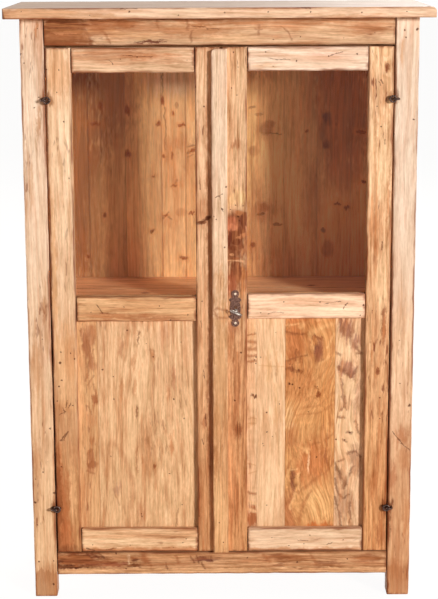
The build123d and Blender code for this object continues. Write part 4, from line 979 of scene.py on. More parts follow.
def makeLeftDoor():
    outer = pineMaterial(
        "pineStileLeftOuter", fineGrain=1.0, tone=(238, 199, 162), footTone=(190, 132, 86), rings=0.3,
        streaks=0.5, stain=0.12, flecks=0.55,
        holes=[(-361, 1256, 1.6), (-353, 1139, 2.0), (-389, 1256, 2.0), (-367, 1206, 1.6), (-372, 603, 1.8),
            (-350, 601, 1.8), (-375, 578, 3.2), (-372, 536, 2.6), (-379, 522, 2.0), (-341, 588, 2.2),
            (-347, 475, 1.8), (-384, 486, 1.8), (-377, 325, 2.0)],
        cracks=[(-360, 487, -364, 470, 1.3), (-371, 470, -367, 455, 1.2), (-380, 452, -366, 460, 1.0),
            (-352, 480, -358, 468, 1.0), (-378, 389, -360, 411, 2.0), (-371, 391, -366, 400, 1.4)],
        smudges=[(-368, 470, 18, 16, (196, 128, 78), 0.6), (-378, 230, 22, 90, (176, 98, 56), 0.75),
            (-376, 150, 24, 50, (184, 104, 62), 0.7), (-384, 330, 10, 80, (196, 118, 70), 0.6),
            (-384, 800, 7, 200, (222, 164, 110), 0.6), (-345, 760, 8, 60, (250, 214, 176), 0.6),
            (-360, 560, 32, 110, (236, 184, 134), 0.6), (-363, 1250, 34, 70, (222, 168, 124), 0.75),
            (-386, 1186, 7, 14, (136, 82, 50), 0.8), (-386, 222, 8, 20, (96, 48, 30), 0.9),
            (-372, 120, 28, 14, (120, 62, 36), 0.7), (-352, 590, 14, 60, (216, 150, 100), 0.5),
            (-386, 240, 8, 120, (136, 74, 42), 0.9), (-351, 270, 8, 80, (238, 184, 134), 0.8)])
    inner = pineMaterial(
        "pineStileLeftInner", fineGrain=1.5, tone=(212, 164, 126), footTone=(200, 143, 98), rings=0.4,
        streaks=0.6, stain=0.25, flecks=0.95,
        holes=[(-60, 928, 3.0), (-36, 1173, 2.0), (-55, 1217, 1.8), (-44, 723, 1.6)],
        cracks=[(-46, 1000, -45, 985, 0.9), (-52, 905, -34, 913, 3.4, -24, 919, 4.0), (-37, 452,
            -37, 424, 1.4), (-46, 676, -44, 660, 1.2), (-45, 392, -43, 378, 1.2), (-40, 560,
            -39, 540, 1.0)],
        # the long narrow smudges at X -24, along the edge beside the cover strip, are painted shade where the
        # strip casts its shadow
        smudges=[(-40, 440, 6, 26, (168, 102, 64), 0.7), (-45, 250, 10, 80, (188, 122, 78), 0.5),
            (-24, 900, 9, 200, (170, 108, 70), 0.8), (-24, 1150, 7, 120, (184, 124, 84), 0.6),
            (-24, 450, 8, 220, (160, 100, 64), 0.75), (-44, 936, 16, 40, (196, 134, 92), 0.6),
            (-45, 1225, 16, 100, (238, 198, 160), 0.8)],
        blots=[(-43, 909, 11, 4, (112, 60, 36), 0.9), (-29, 917, 6, 5, (92, 48, 30), 0.95),
            (-46, 1000, 2, 14, (150, 96, 62), 0.6)])
    topRail = pineMaterial(
        "pineLeftTopRail", fineGrain=1.3, along="x", tone=(217, 174, 138), rings=0.5, streaks=0.6,
        stain=0.22, flecks=0.55,
        holes=[(-185, 1284, 1.6), (-223, 1280, 1.2), (-73, 1276, 1.2)],
        cracks=[(-248, 1279, -239, 1268, 0.9), (-217, 1287, -150, 1284, 0.7)],
        smudges=[(-170, 1285, 70, 6, (196, 132, 94), 0.7), (-300, 1292, 40, 7, (206, 146, 108), 0.5),
            (-100, 1275, 40, 5, (200, 140, 100), 0.5)])
    middleRail = pineMaterial(
        "pineLeftMiddleRail", fineGrain=1.3, along="x", tone=(214, 162, 117), rings=0.5, streaks=0.6,
        stain=0.2,
        holes=[(-223, 710, 1.8), (-142, 713, 1.7), (-76, 692, 1.8), (-301, 698, 1.4), (-117, 678, 2.4)],
        cracks=[(-287, 715, -279, 706, 1.0, -274, 695, 1.3)],
        smudges=[(-240, 688, 80, 7, (184, 118, 78), 0.7), (-150, 683, 60, 5, (172, 106, 70), 0.6)])
    bottomRail = pineMaterial(
        "pineLeftBottomRail", fineGrain=1.3, along="x", tone=(224, 177, 134), rings=0.45, streaks=0.5,
        bands=[(111, 122, (196, 132, 88), 0.85), (128, 146, (250, 214, 172), 0.6)],
        holes=[(-308, 130, 1.4), (-218, 129, 1.3), (-92, 134, 1.5), (-86, 144, 1.5), (-115, 123, 1.4)],
        cracks=[(-275, 117, -252, 122, 1.0), (-322, 121, -305, 116, 1.6)])
    narrow = pineMaterial(
        "pinePanelNarrow", fineGrain=1.1, tone=(214, 162, 115), rings=0.4, ring=7, streaks=0.45, swirl=22,
        edge=0.15,
        smudges=[(-316, 626, 9, 40, (164, 106, 74), 0.9), (-303, 580, 7, 18, (170, 110, 76), 0.8),
            (-322, 560, 8, 40, (206, 148, 104), 0.6), (-295, 484, 7, 16, (176, 108, 68), 0.8),
            (-306, 440, 14, 22, (206, 142, 98), 0.6), (-310, 326, 9, 18, (178, 116, 82), 0.85),
            (-306, 385, 8, 12, (184, 120, 78), 0.8), (-330, 420, 6, 80, (236, 184, 134), 0.6)],
        blots=[(-302, 640, 12, 26, (180, 120, 84), 0.8), (-313, 612, 10, 26, (172, 112, 76), 0.85),
            (-300, 566, 9, 12, (186, 126, 88), 0.6), (-298, 486, 7, 10, (158, 94, 60), 0.8),
            (-309, 352, 7, 14, (176, 116, 80), 0.8), (-306, 326, 12, 8, (164, 104, 70), 0.8)],
        veins=[((158, 100, 66), 0.7, [(-318, 530, -306, 580, 1.2, -298, 606, 1.2), (-312, 520,
            -300, 545, 1.0), (-300, 660, -306, 640, 1.2), (-316, 350, -308, 362, 1.2), (-318, 310,
            -304, 306, 1.2), (-298, 520, -294, 500, 1.2), (-314, 470, -304, 450, 0.9)])])
    wide = pineMaterial(
        "pinePanelWide", fineGrain=1.15, tone=(231, 185, 145), footTone=(218, 170, 125), rings=0.35,
        ring=8.0, streaks=0.6, stain=0.14, swirl=26, flecks=0.45, edge=0.15,
        knots=[(-158, 322, 4.5, 6)],
        holes=[(-218, 651, 1.6), (-277, 558, 2.2), (-252, 541, 1.8), (-252, 486, 1.6), (-111, 485, 2.0),
            (-93, 623, 1.4), (-174, 620, 1.4), (-123, 302, 1.8), (-94, 225, 1.8), (-191, 203, 1.7),
            (-191, 196, 1.7), (-262, 346, 1.4), (-158, 588, 2.4)],
        smudges=[(-232, 610, 5, 26, (204, 146, 108), 0.8), (-192, 633, 3, 15, (150, 100, 68), 0.8),
            (-203, 577, 6, 22, (198, 138, 96), 0.7), (-130, 640, 16, 30, (222, 168, 132), 0.7),
            (-111, 540, 6, 26, (208, 146, 110), 0.8), (-125, 498, 6, 14, (196, 134, 94), 0.7),
            (-197, 456, 3, 17, (146, 96, 64), 0.85), (-236, 512, 5, 26, (206, 150, 106), 0.7),
            (-203, 512, 5, 24, (198, 140, 98), 0.7), (-248, 340, 9, 26, (242, 202, 156), 0.8),
            (-248, 266, 10, 16, (194, 146, 114), 0.8), (-118, 370, 5, 24, (216, 148, 102), 0.8),
            (-190, 205, 12, 32, (202, 148, 110), 0.8), (-160, 590, 6, 12, (196, 136, 92), 0.7),
            (-216, 230, 6, 30, (198, 146, 106), 0.6), (-84, 600, 8, 50, (214, 160, 120), 0.5)],
        veins=[((190, 132, 92), 0.6, [(-276, 300, -268, 350, 3.2, -257, 382, 3.0, -244, 370, 3.0,
            -226, 330, 2.8, -213, 290, 2.8, -206, 240, 2.8)]), ((170, 114, 76), 0.7, [(-163, 607,
            -156, 602, 1.8), (-199, 370, -201, 340, 1.0, -198, 306, 1.0), (-105, 216, -105, 172, 0.9),
            (-187, 350, -187, 330, 0.8), (-252, 250, -242, 226, 1.0)]), ((250, 212, 168), 0.6, [(-250, 240,
            -240, 216, 1.4), (-96, 420, -97, 380, 1.0), (-130, 230, -130, 180, 1.5)])])
    makeDoor("left", 101, [("outer", outer, (10, 40)), ("inner", inner, (-8, 30))],
             [("top", topRail, (6, 28)), ("middle", middleRail, (-10, 34)), ("bottom", bottomRail, (4, 44))],
             [("narrow", narrow, (14, 20), 0.03), ("wide", wide, (-20, 26), 0.05)])


def makeGlazing():
    beadLook = pineMaterial(
        "pineBead", along="x", tone=(226, 176, 130), rings=0.2, streaks=0.4, pinholes=0.0)
    for side, _ in sides:
        body, beads, pane = f"{side}_door", f"{side}_beads", f"{side}_glass"
        makePiece(f"{side}Beads", beadParts(beads), beadLook, body, "pine_door", beads)
        sheet = sweptBoard(*boxOf(pane), 2, **plainBlock, seed=7)
        makePiece(f"{side}Glass", [sheet], glassSheet, body, "glass", pane)


def makeRightDoor():
    outer = pineMaterial(
        "pineStileRightOuter", fineGrain=1.5, tone=(233, 189, 147), footTone=(206, 146, 97), rings=0.45,
        streaks=0.75, stain=0.3, flecks=0.95,
        knots=[(376, 1259, 5, 9), (365, 554, 5, 9)],
        holes=[(354, 1171, 1.6), (364, 1124, 1.8), (371, 490, 2.0), (372, 439, 1.8), (350, 700, 1.5)],
        cracks=[(362, 1230, 366, 1222, 1.4), (358, 1226, 362, 1218, 1.2), (374, 1095, 373, 1086, 1.2),
            (371, 860, 370, 842, 1.3)],
        smudges=[(378, 672, 6, 48, (150, 84, 50), 0.85), (353, 610, 5, 34, (186, 124, 80), 0.7),
            (354, 1100, 4, 60, (204, 148, 104), 0.6), (375, 1160, 5, 60, (214, 158, 114), 0.5),
            (372, 400, 6, 60, (190, 128, 84), 0.6), (350, 900, 8, 50, (190, 122, 78), 0.55),
            (384, 960, 4, 60, (180, 112, 70), 0.6), (387, 1190, 7, 12, (140, 84, 54), 0.75),
            (387, 222, 8, 22, (92, 46, 28), 0.9), (380, 150, 12, 40, (150, 82, 48), 0.7),
            (362, 900, 10, 70, (206, 144, 100), 0.6)])
    inner = pineMaterial(
        "pineStileRightInner", fineGrain=1.9, tone=(209, 164, 125), footTone=(200, 140, 93), rings=0.4,
        streaks=0.6, stain=0.3, flecks=0.8,
        holes=[(31, 1293, 2.0), (41, 1261, 1.6), (26, 1214, 1.6), (39, 1198, 1.8), (6, 1195, 2.2),
            (46, 601, 2.4), (31, 485, 2.0), (35.5, 709, 5.5), (35, 702, 3.0), (35, 947, 1.8),
            (52, 946, 1.8), (23, 937, 1.6), (40, 921, 2.2), (43, 911, 2.0)],
        smudges=[(36, 1085, 14, 10, (170, 106, 68), 0.7), (36, 962, 28, 18, (240, 198, 146), 0.8),
            (34, 850, 30, 42, (138, 80, 50), 0.95), (36, 786, 36, 36, (138, 78, 48), 1.0),
            (26, 756, 12, 36, (158, 88, 58), 0.85), (52, 766, 8, 40, (200, 128, 78), 0.7),
            (40, 413, 8, 20, (130, 66, 36), 0.85), (36, 560, 10, 60, (178, 112, 70), 0.7),
            (28, 660, 14, 22, (160, 92, 60), 0.6), (30, 250, 14, 60, (184, 122, 80), 0.5),
            (22, 620, 10, 40, (186, 122, 78), 0.6)],
        blots=[(35, 898, 24, 35, (122, 64, 38), 0.95), (44, 930, 10, 4, (190, 120, 74), 0.7),
            (54, 910, 7, 20, (100, 46, 30), 0.9), (28, 903, 13, 17, (172, 100, 70), 1.0),
            (27, 895, 10, 9, (196, 122, 88), 0.95), (58, 889, 3, 9, (226, 160, 116), 0.9),
            (52, 878, 8, 5, (212, 142, 96), 0.85), (21, 870, 5, 20, (112, 54, 34), 0.9),
            (38, 863, 9, 7, (106, 48, 26), 0.95), (30, 848, 8, 6, (122, 62, 36), 0.85),
            (47, 852, 6, 8, (128, 68, 40), 0.8), (44, 872, 6, 3, (200, 132, 88), 0.7),
            (27, 833, 3, 3, (226, 166, 122), 0.8), (50, 838, 3, 9, (196, 128, 86), 0.7),
            (57, 852, 4, 16, (188, 122, 80), 0.6), (34, 822, 10, 3, (160, 92, 58), 0.7)],
        veins=[((104, 50, 32), 0.95, [(54, 925, 57, 905, 3.2, 48, 893, 3.4, 34, 884, 3.2, 20, 872, 3.2),
            (40, 930, 54, 926, 2.0), (40, 922, 46, 910, 2.4)]), ((230, 176, 132), 0.9, [(12, 817,
            64, 816, 1.0)]), ((120, 64, 40), 0.8, [(33, 811, 34, 788, 1.3), (39, 812, 40, 792, 1.2),
            (45, 810, 45, 786, 1.2), (42, 770, 44, 748, 1.3), (28, 842, 32, 826, 1.6), (40, 838,
            46, 824, 1.6)])])
    topRail = pineMaterial(
        "pineRightTopRail", along="x", tone=(237, 206, 180), rings=0.3, streaks=0.4, stain=0.12, flecks=0.4,
        stainShade=(0.93, 0.8, 0.76),
        holes=[(103, 1294, 2.0), (172, 1274, 1.7), (244, 1284, 1.6), (308, 1288, 2.2), (120, 1262, 1.2)],
        cracks=[(114, 1279, 130, 1276, 0.8, 146, 1278, 0.8, 158, 1276, 0.7), (246, 1284, 262, 1291, 1.0,
            276, 1293, 0.7)],
        smudges=[(240, 1285, 50, 10, (236, 188, 164), 0.6), (100, 1262, 30, 6, (240, 200, 160), 0.5)])
    middleRail = pineMaterial(
        "pineRightMiddleRail", fineGrain=1.2, along="x", tone=(240, 195, 161), rings=0.3, streaks=0.35,
        stain=0.1, flecks=0.4,
        holes=[(146, 720, 1.8), (229, 720, 1.6), (288, 712, 2.6), (92, 695, 1.8), (322, 689, 1.7),
            (330, 712, 2.0)],
        cracks=[(238, 715, 258, 719, 0.8, 277, 721, 0.7), (109, 692, 124, 697, 0.8, 145, 695, 0.7),
            (282, 704, 292, 718, 1.2)])
    bottomRail = pineMaterial(
        "pineRightBottomRail", along="x", tone=(223, 183, 148), rings=0.4, streaks=0.45, stain=0.15,
        bands=[(111, 120, (206, 146, 102), 0.7)],
        holes=[(120, 146, 1.6), (210, 152, 1.6), (290, 140, 1.8), (160, 126, 1.4)],
        cracks=[(180, 140, 205, 138, 0.7), (250, 128, 262, 132, 0.8)])
    edge = pineMaterial(
        "pinePanelEdge", fineGrain=1.2, tone=(226, 180, 138), rings=0.3, streaks=0.4, curl=0.22, edge=0.15,
        holes=[(82, 586, 2.2), (81, 571, 1.8), (79, 580, 1.4)],
        smudges=[(77, 494, 8, 4, (96, 48, 26), 0.95), (72, 190, 16, 34, (164, 94, 54), 0.95),
            (70, 640, 12, 40, (222, 168, 118), 0.6), (72, 430, 14, 10, (222, 170, 122), 0.6)],
        veins=[((158, 92, 52), 0.9, [(62, 622, 84, 620, 2.4), (62, 607, 84, 609, 2.2), (62, 591,
            84, 590, 2.0), (62, 576, 84, 577, 1.8), (62, 255, 84, 250, 1.6), (62, 640, 80, 644, 1.2)]),
            ((244, 200, 152), 0.9, [(62, 234, 84, 226, 1.6), (62, 212, 84, 204, 1.8)]),
            ((196, 136, 88), 0.6, [(64, 437, 82, 438, 0.8), (64, 427, 82, 425, 0.8), (64, 300,
            82, 306, 1.0), (64, 326, 80, 322, 1.0)])])
    pale = pineMaterial(
        "pinePanelPale", tone=(229, 183, 141), rings=0.35, ring=8, streaks=0.4, stain=0.05, flecks=0.3,
        swirl=18, edge=0.15,
        holes=[(128, 645, 1.6), (93, 586, 1.7), (107, 452, 1.9), (108, 404, 1.6), (121, 393, 1.5),
            (138, 472, 1.5), (98, 376, 1.4), (107, 222, 1.6), (100, 370, 1.2)],
        smudges=[(112, 570, 5, 50, (236, 190, 140), 0.6), (130, 470, 5, 60, (230, 182, 132), 0.6)],
        veins=[((214, 162, 112), 0.6, [(90, 565, 118, 566, 0.9, 146, 562, 0.8), (136, 480, 140, 430, 0.9),
            (128, 600, 132, 540, 0.8)])])
    figured = pineMaterial(
        "pinePanelFigured", fineGrain=1.3, tone=(206, 145, 92), rings=0.55, ring=9, streaks=0.35,
        stain=0.25, swirl=60, swirlScale=(6, 6, 4), flecks=0.15, stainShade=(0.84, 0.7, 0.62), edge=0.15,
        knots=[(229, 495, 5, 7)],
        holes=[(160, 521, 3.0), (167, 520, 2.4), (184, 511, 2.4), (226, 514, 1.4), (225, 341, 1.8),
            (210, 382, 1.4)],
        smudges=[(172, 636, 28, 62, (196, 118, 70), 0.85), (160, 560, 16, 40, (184, 104, 60), 0.6),
            (225, 680, 40, 10, (188, 112, 66), 0.6), (180, 520, 40, 46, (200, 130, 80), 0.6),
            (226, 596, 13, 31, (136, 82, 62), 0.97), (224, 630, 15, 5, (140, 80, 52), 0.85),
            (166, 553, 6, 6, (122, 66, 40), 0.9), (183, 552, 8, 5, (120, 64, 40), 0.9),
            (160, 572, 4, 8, (150, 86, 54), 0.8), (162, 432, 12, 30, (244, 196, 142), 0.85),
            (166, 388, 16, 30, (176, 112, 70), 0.7), (216, 330, 40, 56, (198, 118, 70), 0.8),
            (249, 385, 5, 22, (150, 86, 52), 0.8), (245, 336, 4, 18, (152, 88, 56), 0.75),
            (209, 322, 3, 24, (250, 204, 158), 0.9), (202, 358, 10, 10, (240, 184, 126), 0.7),
            (172, 282, 7, 32, (136, 78, 54), 0.9), (160, 190, 14, 70, (182, 112, 72), 0.75),
            (232, 222, 34, 46, (240, 188, 128), 0.9), (230, 168, 34, 10, (208, 120, 66), 0.9),
            (256, 430, 5, 24, (160, 92, 52), 0.65), (246, 470, 16, 70, (222, 156, 96), 0.6),
            (250, 600, 10, 60, (218, 152, 94), 0.6), (200, 432, 40, 8, (226, 166, 108), 0.7)],
        veins=[((132, 72, 42), 0.85, [(150, 644, 170, 640, 1.6, 200, 643, 1.4), (150, 577, 172, 581, 1.6,
            200, 592, 1.4), (152, 557, 188, 552, 1.6), (175, 604, 174, 575, 1.2), (182, 600, 184, 570, 1.2),
            (221, 512, 228, 508, 1.0)]), ((170, 104, 62), 0.7, [(150, 218, 172, 246, 2.0, 206, 274, 1.8,
            244, 300, 1.8, 264, 330, 1.6), (182, 176, 196, 230, 2.4, 214, 260, 1.6), (150, 300,
            162, 330, 1.8), (186, 250, 190, 330, 1.6), (240, 420, 236, 300, 1.6), (210, 372, 236, 378, 1.4,
            262, 400, 1.4), (158, 262, 168, 236, 2.0)]), ((184, 116, 70), 0.6, [(196, 560, 214, 520, 1.8,
            250, 560, 1.2, 264, 610, 1.6), (206, 478, 238, 500, 1.5, 262, 540, 1.5), (190, 462,
            232, 470, 1.4, 264, 500, 1.4), (180, 446, 226, 450, 1.4, 262, 470, 1.4), (256, 640,
            262, 600, 1.8), (246, 660, 256, 620, 1.4)]), ((240, 186, 128), 0.8, [(184, 655, 208, 672, 2.2,
            250, 682, 2.0), (206, 640, 240, 658, 2.0, 264, 668, 2.0), (262, 640, 250, 610, 1.4), (154, 280,
            160, 310, 1.6, 180, 314, 1.4), (184, 300, 186, 260, 1.6), (176, 250, 164, 214, 1.6), (224, 560,
            256, 590, 1.2), (150, 660, 186, 664, 1.2), (194, 364, 206, 350, 1.6)])])
    outerBoard = pineMaterial(
        "pinePanelOuter", fineGrain=1.25, tone=(226, 180, 138), rings=0.35, ring=10, streaks=0.5, stain=0.4,
        swirl=44, swirlScale=(7, 7, 3.5), flecks=0.5, stainShade=(0.8, 0.7, 0.66), edge=0.15,
        holes=[(271, 385, 2.2), (303, 402, 1.8), (291, 383, 1.8)],
        smudges=[(292, 656, 20, 32, (166, 112, 90), 0.95), (312, 622, 12, 18, (168, 116, 94), 0.85),
            (294, 560, 24, 20, (168, 114, 92), 0.9), (306, 548, 8, 14, (160, 106, 84), 0.8),
            (278, 600, 10, 30, (246, 206, 164), 0.8), (318, 560, 8, 40, (240, 198, 158), 0.6),
            (287, 460, 9, 5, (110, 60, 38), 0.95), (292, 470, 16, 14, (200, 146, 108), 0.7),
            (320, 480, 10, 44, (196, 148, 116), 0.7), (276, 360, 12, 36, (248, 206, 162), 0.85),
            (318, 330, 16, 40, (176, 128, 98), 0.8), (288, 290, 20, 22, (186, 138, 106), 0.8),
            (300, 310, 10, 26, (244, 204, 164), 0.7), (292, 230, 24, 40, (180, 136, 106), 0.8),
            (316, 220, 10, 60, (226, 186, 150), 0.6), (280, 190, 10, 30, (196, 150, 118), 0.6)],
        veins=[((112, 62, 42), 0.85, [(270, 594, 280, 589, 1.8), (318, 595, 328, 595, 1.6), (276, 558,
            290, 554, 2.0), (276, 440, 290, 436, 1.3), (298, 404, 308, 400, 1.6), (286, 384,
            294, 382, 1.4)]), ((130, 82, 60), 0.9, [(278, 676, 286, 640, 2.0), (292, 680, 300, 640, 1.8,
            314, 610, 2.0, 324, 596, 1.4), (272, 560, 288, 548, 1.6, 306, 538, 1.8, 316, 562, 1.6),
            (280, 530, 286, 490, 1.4, 292, 470, 1.6)]), ((120, 78, 56), 0.95, [(270, 325, 282, 290, 1.6,
            291, 266, 1.8, 300, 290, 1.8, 312, 316, 1.5), (268, 290, 276, 262, 1.5, 288, 236, 1.5,
            302, 248, 1.4), (270, 240, 282, 200, 1.6, 284, 166, 1.4), (302, 230, 306, 180, 1.6), (314, 430,
            326, 400, 1.4), (300, 350, 318, 356, 1.6, 328, 340, 1.4), (276, 330, 290, 334, 1.4)]),
            ((250, 214, 174), 0.7, [(300, 600, 308, 640, 1.6), (296, 330, 300, 280, 1.8), (310, 300,
            312, 260, 1.4), (276, 520, 270, 480, 1.6)])])
    makeDoor("right", 121, [("outer", outer, (-6, 34)), ("inner", inner, (10, 24))],
             [("top", topRail, (6, 40)), ("middle", middleRail, (-10, 46)), ("bottom", bottomRail, (4, 36))],
             [("edge", edge, (6, 30), 0.03), ("pale", pale, (12, 50), 0.04),
              ("figured", figured, (0, 12), 0.10), ("outer", outerBoard, (-10, 26), 0.06)])


makeLeftDoor()
makeGlazing()
makeRightDoor()

coverStrip = {
    "ease": (2.8, 0.4), "drift": (0.9, 0.3), "ends": 1.5, "chips": 8, "tilt": 0.01, "stepAlong": 8.0,
    "stepAcross": 3.0,
}
stripEnd = {"lap": 2.6, "corner": 12.0}


def makeCoverStrip():
    low, high = boxOf("cover_strip")
    low[0] -= stripEnd["lap"]
    board = sweptBoard(low, high, 2, **coverStrip, seed=141, pith=(8, 36))
    points = board["points"] / mm
    radius = stripEnd["corner"]
    centre = np.array([low[0] + radius, high[2] - radius])
    away = points[:, [0, 2]] - centre
    reach = np.linalg.norm(away, axis=1)
    beyond = (away[:, 0] < 0) & (away[:, 1] > 0) & (reach > radius)
    pulledIn = centre + away * (radius / np.maximum(reach, 1e-6))[:, None]
    points[beyond, 0], points[beyond, 2] = pulledIn[beyond, 0], pulledIn[beyond, 1]
    board["points"] = points * mm
    look = pineMaterial(
        "pineStrip", edge=0.45, fineGrain=1.2, tone=(225, 190, 160), footTone=(222, 168, 118), rings=0.3,
        streaks=0.35, stain=0.08, flecks=0.35,
        holes=[(13, 992, 2.2), (4, 941, 2.6), (-9, 917, 1.6), (9, 852, 2.0), (-12, 967, 1.2),
            (-6, 190, 1.6), (4, 140, 1.6)],
        cracks=[(-12, 967, 5, 976, 0.9), (-2, 972, 0, 962, 0.8), (4, 941, 6, 935, 1.2)],
        # the brown oval loop round Z 686 to 709 beside the key is a painted shadow of the key's bow
        veins=[((156, 92, 56), 0.75, [(18, 709, -8, 709, 1.6, -14, 704, 1.4, -14, 694, 1.2, -7, 688, 1.4,
            18, 686, 1.8)])],
        smudges=[(4, 698, 14, 10, (214, 156, 108), 0.6), (3, 790, 5, 40, (220, 166, 122), 0.6),
            (0, 770, 14, 30, (226, 174, 130), 0.5), (-14, 330, 4, 60, (196, 132, 84), 0.6),
            (0, 540, 24, 230, (206, 154, 108), 0.9), (10, 700, 8, 26, (206, 148, 100), 0.6)])
    makePiece("coverStrip", [board], look, "right_door", "pine_door", "cover_strip")


makeCoverStrip()
print("doors")

hingeRings = {
    "postRadius": 7.0, "doorRadius": 6.5, "wire": 2.5, "shank": 2.8, "axisX": 396.0, "axisY": -160.0,
}


def makeHingeRings():
    size = hingeRings
    wire, axisY, doorRadius = size["wire"], size["axisY"], size["doorRadius"]
    toFace = boxOf("post_front_left")[0][1] - axisY - 3
    low, high = boxOf("hinge_eyes_post")
    inside = wire * math.cos(math.pi / 8) + 0.3
    onPosts = []
    for side, sign in sides:
        onDoor = []
        for number, height in enumerate((low[2] + inside, high[2] - inside)):
            seed = 7 + number + 3 * sign
            axis = np.array([sign * size["axisX"], axisY, height])
            shankX = axis[0] + sign * size["postRadius"] * math.cos(math.radians(25))
            postShank = [(-1.2, 1.4), (0, 2.4), (2, size["shank"]), (toFace, 2.6), (toFace + 9, 2.4)]
            onPosts += [wireRing(axis, size["postRadius"], wire, False, seed),
                        turnedBar((shankX, axisY + 3, height), postShank)]
            doorShank = [(-1.0, 1.3), (0.4, 2.3), (3, size["shank"]), (10, 2.6), (18, 2.4)]
            onDoor += [wireRing(axis - (sign * doorRadius, 0, 0), doorRadius, wire, True, seed + 20),
                       turnedBar((axis[0] - 2 * sign * doorRadius, axisY, height), doorShank)]
        makePiece(f"{side}DoorRings", onDoor, ringMaterial, f"{side}_door", "iron", f"{side}_hinge_eyes")
    makePiece("postRings", onPosts, ringMaterial, "case", "iron", "hinge_eyes_post")


makeHingeRings()

plateEdge = {"width": 0.45, "weld": 0.00002, "steepest": 40}


def makePlate():
    # the CAD plate's own shape, its corners welded and its edges bevelled
    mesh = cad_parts["escutcheon"].data.copy()
    mesh.name = "escutcheonPlate"
    mesh.materials.clear()
    mesh.materials.append(bronzeMaterial)
    piece = placed("escutcheonPlate", mesh)
    piece.modifiers.new("weld", "WELD").merge_threshold = plateEdge["weld"]
    bevel = piece.modifiers.new("bevel", "BEVEL")
    bevel.width = plateEdge["width"] * mm
    bevel.segments = 2
    bevel.limit_method = "ANGLE"
    bevel.angle_limit = math.radians(plateEdge["steepest"])
    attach(piece, "right_door")
    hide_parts("escutcheon")


makePlate()

keyShape = {
    "halfWidth": 14.4, "halfLength": 8.8, "bar": 1.6, "rest": 24.0, "collar": 4.4, "x": 35.0, "z": 701.0,
}
pinHeads = {"radius": 3.2, "height": 2.0, "rise": 34.5}


def makeKey():
    # Bow: a bar of rounded section carried round an ellipse. Stem: a turned profile. Bit: a small block.
    low, high = boxOf("key")
    bar, halfLength, collar = keyShape["bar"], keyShape["halfLength"], keyShape["collar"]
    turn, roll = twoAngles(64, 16)
    square = (np.abs(np.cos(roll)) ** 4 + np.abs(np.sin(roll)) ** 4) ** -0.25
    outward, up = bar * square * np.cos(roll), bar * 0.95 * square * np.sin(roll)
    across = (keyShape["halfWidth"] + outward) * np.cos(turn)
    lengthways = (halfLength - 0.2 + outward) * np.sin(turn)
    bowCentre = low[1] + halfLength + bar
    up = np.broadcast_to(up, across.shape)
    bow = gridSurface(np.stack([across, bowCentre - lengthways, up], -1), joined=True)
    plate = boxOf("escutcheon")[0][1]
    joint = bowCentre + halfLength - 1.0
    tip = high[1]
    stem = turnedBar((0, 0, 0), [
        (joint, 1.6), (joint + 0.4, 2.5), (joint + 2, 2.6), (plate - 5.2, 2.5), (plate - 4.6, 3.4),
        (plate - 3.6, collar), (plate - 1.4, collar), (plate - 0.6, 3.2), (plate - 0.4, 2.5), (tip - 1, 2.5),
        (tip - 0.2, 1.9), (tip, 1.0)])
    bitStart = boxOf("lock_case")[0][1] + 1.5
    bit = sweptBoard((0.5, bitStart, -1.3), (9.5, bitStart + 6.5, 1.3), 0, **plainBlock, seed=2)
    angle = math.radians(keyShape["rest"])
    for part in (bow, stem, bit):
        x, z = part["points"][:, 0].copy(), part["points"][:, 2].copy()
        part["points"][:, 0] = x * math.cos(angle) + z * math.sin(angle) + keyShape["x"] * mm
        part["points"][:, 2] = -x * math.sin(angle) + z * math.cos(angle) + keyShape["z"] * mm
    makePiece("key", [bow, stem, bit], steelMaterial, "key", "steel", "key")


makeKey()


def makePinHeads():
    # domes on the plate: height times the cosine and radius times the sine of one angle, spun round
    low, high = boxOf("escutcheon_pins")
    middle = (low + high) / 2
    plate = boxOf("escutcheon")[0][1]
    profile = [(-pinHeads["height"] * math.cos(a), pinHeads["radius"] * math.sin(a))
               for a in np.linspace(0.12, np.pi / 2, 7)]
    profile += [(0.1, 1.4), (12.0, 1.3)]
    pins = [turnedBar((middle[0], plate, middle[2] + sign * pinHeads["rise"]), profile) for sign in (-1, 1)]
    makePiece("platePins", pins, paintedGlintPinMaterial, "right_door", "bronze", "escutcheon_pins")


makePinHeads()
dress(ironMaterial, "lock_case", "lock_keeper", "slide_bolt_plate", "slide_strike")
dress(steelMaterial, "lock_bolt", "slide_bolt_rod", "lock_screws", "keeper_screws", "top_screws")
print("metalwork")

# Softboxes are (watts, size, degrees to the right of the front, degrees above level, distance), in metres.
studio = {
    "keySoftbox": (1720.0, 2.0, 38.0, 13.0, 14.0), "sideSoftbox": (200.0, 2.5, -97.0, 12.0, 6.0),
    "backSoftbox": (200.0, 2.5, 160.0, 35.0, 6.0),
}
surroundings = {
    "sky": 0.14, "floorSize": 60.0, "aim": (0.0, -0.15, 0.75), "floorGlow": 1.08, "floorShare": 0.88,
}


def makeFloor():
    steps = np.linspace(-0.5, 0.5, 5) * surroundings["floorSize"]
    across, deep = np.meshgrid(steps, steps, indexing="xy")
    points = np.stack([across, deep, np.zeros_like(across)], -1).reshape(-1, 3)
    index = np.arange(25).reshape(5, 5)
    quads = np.stack([index[:-1, :-1], index[:-1, 1:], index[1:, 1:], index[1:, :-1]], -1).reshape(-1, 4)
    mesh = bpy.data.meshes.new("studioFloor")
    mesh.from_pydata(points.tolist(), [], quads.tolist())
    floor = placed("studioFloor", mesh)
    material = newMaterial("paleFloor")
    cloud = ramped(noiseAt(objectPlace(), (1.5, 1.5, 1.5), 3.0), 0.3, 0.7)
    colour = mixed(cloud, (0.86, 0.75, 0.64, 1), (0.89, 0.79, 0.68, 1))
    matt = principled(Base_Color=colour, Roughness=0.9, Specular_IOR_Level=0.1)
    glow = addNode("Emission", {"Color": (1, 1, 1, 1), "Strength": surroundings["floorGlow"]}).outputs[0]
    share = raysAre("Camera", "Transmission", "Glossy") * surroundings["floorShare"]
    finishSurface(addNode("MixShader", {0: share, 1: matt, 2: glow}).outputs[0])
    mesh.materials.append(material)


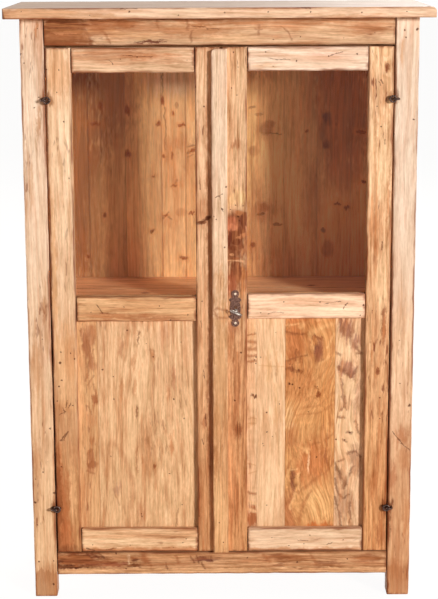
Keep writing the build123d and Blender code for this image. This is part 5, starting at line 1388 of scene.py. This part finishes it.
def makeLight():
    for name, (power, size, right, rise, distance) in studio.items():
        turn, lift = math.radians(right), math.radians(rise)
        offset = np.array([math.sin(turn) * math.cos(lift), -math.cos(turn) * math.cos(lift), math.sin(lift)])
        lamp = bpy.data.lights.new(name, "AREA")
        lamp.energy, lamp.size, lamp.color = power, size, (1.0, 0.985, 0.96)
        holder = placed(name, lamp)
        holder.location = np.array(surroundings["aim"]) + distance * offset
        holder.rotation_euler = (math.pi / 2 - lift, 0, turn)
    world = bpy.data.worlds.new("studioSky")
    world.use_nodes = True
    building["tree"] = world.node_tree
    world.node_tree.nodes.clear()
    backgrounds = (((0.94, 0.78, 0.64, 1), surroundings["sky"]), ((1, 1, 1, 1), 1.0))
    light, white = (addNode("Background", {"Color": colour, "Strength": strength}).outputs[0]
                    for colour, strength in backgrounds)
    mix = addNode("MixShader", {0: raysAre("Camera", "Transmission", "Glossy"), 1: light, 2: white})
    addNode("OutputWorld", {"Surface": mix.outputs[0]})
    bpy.context.scene.world = world


# where the camera stands, its turns in radians and its lens in millimetres, fitted to the photo
viewpoint = {
    "place": (-9.33, -3965.25, 1555.11), "yaw": 0.001396, "pitch": 0.213693, "roll": -0.0046376,
    "lens": 101.58,
}


def makeCamera():
    camera = bpy.data.cameras.new("photoCamera")
    camera.sensor_fit = "AUTO"
    camera.sensor_width = 36.0
    camera.lens = viewpoint["lens"]
    camera.clip_end = 60.0
    holder = placed("photoCamera", camera)
    yaw, pitch, roll = viewpoint["yaw"], viewpoint["pitch"], viewpoint["roll"]
    forward = np.array([math.sin(yaw) * math.cos(pitch), math.cos(yaw) * math.cos(pitch), -math.sin(pitch)])
    right = np.array([math.cos(yaw), -math.sin(yaw), 0.0])
    up = np.cross(right, forward)
    matrix = np.eye(4)
    matrix[:3, 0] = math.cos(roll) * right + math.sin(roll) * up
    matrix[:3, 1] = -math.sin(roll) * right + math.cos(roll) * up
    matrix[:3, 2] = -forward
    matrix[:3, 3] = np.array(viewpoint["place"]) * mm
    holder.matrix_world = Matrix(matrix.tolist())
    bpy.context.scene.camera = holder


makeFloor()
makeLight()
makeCamera()
bpy.context.scene.view_settings.view_transform = "Standard"
print("studio")
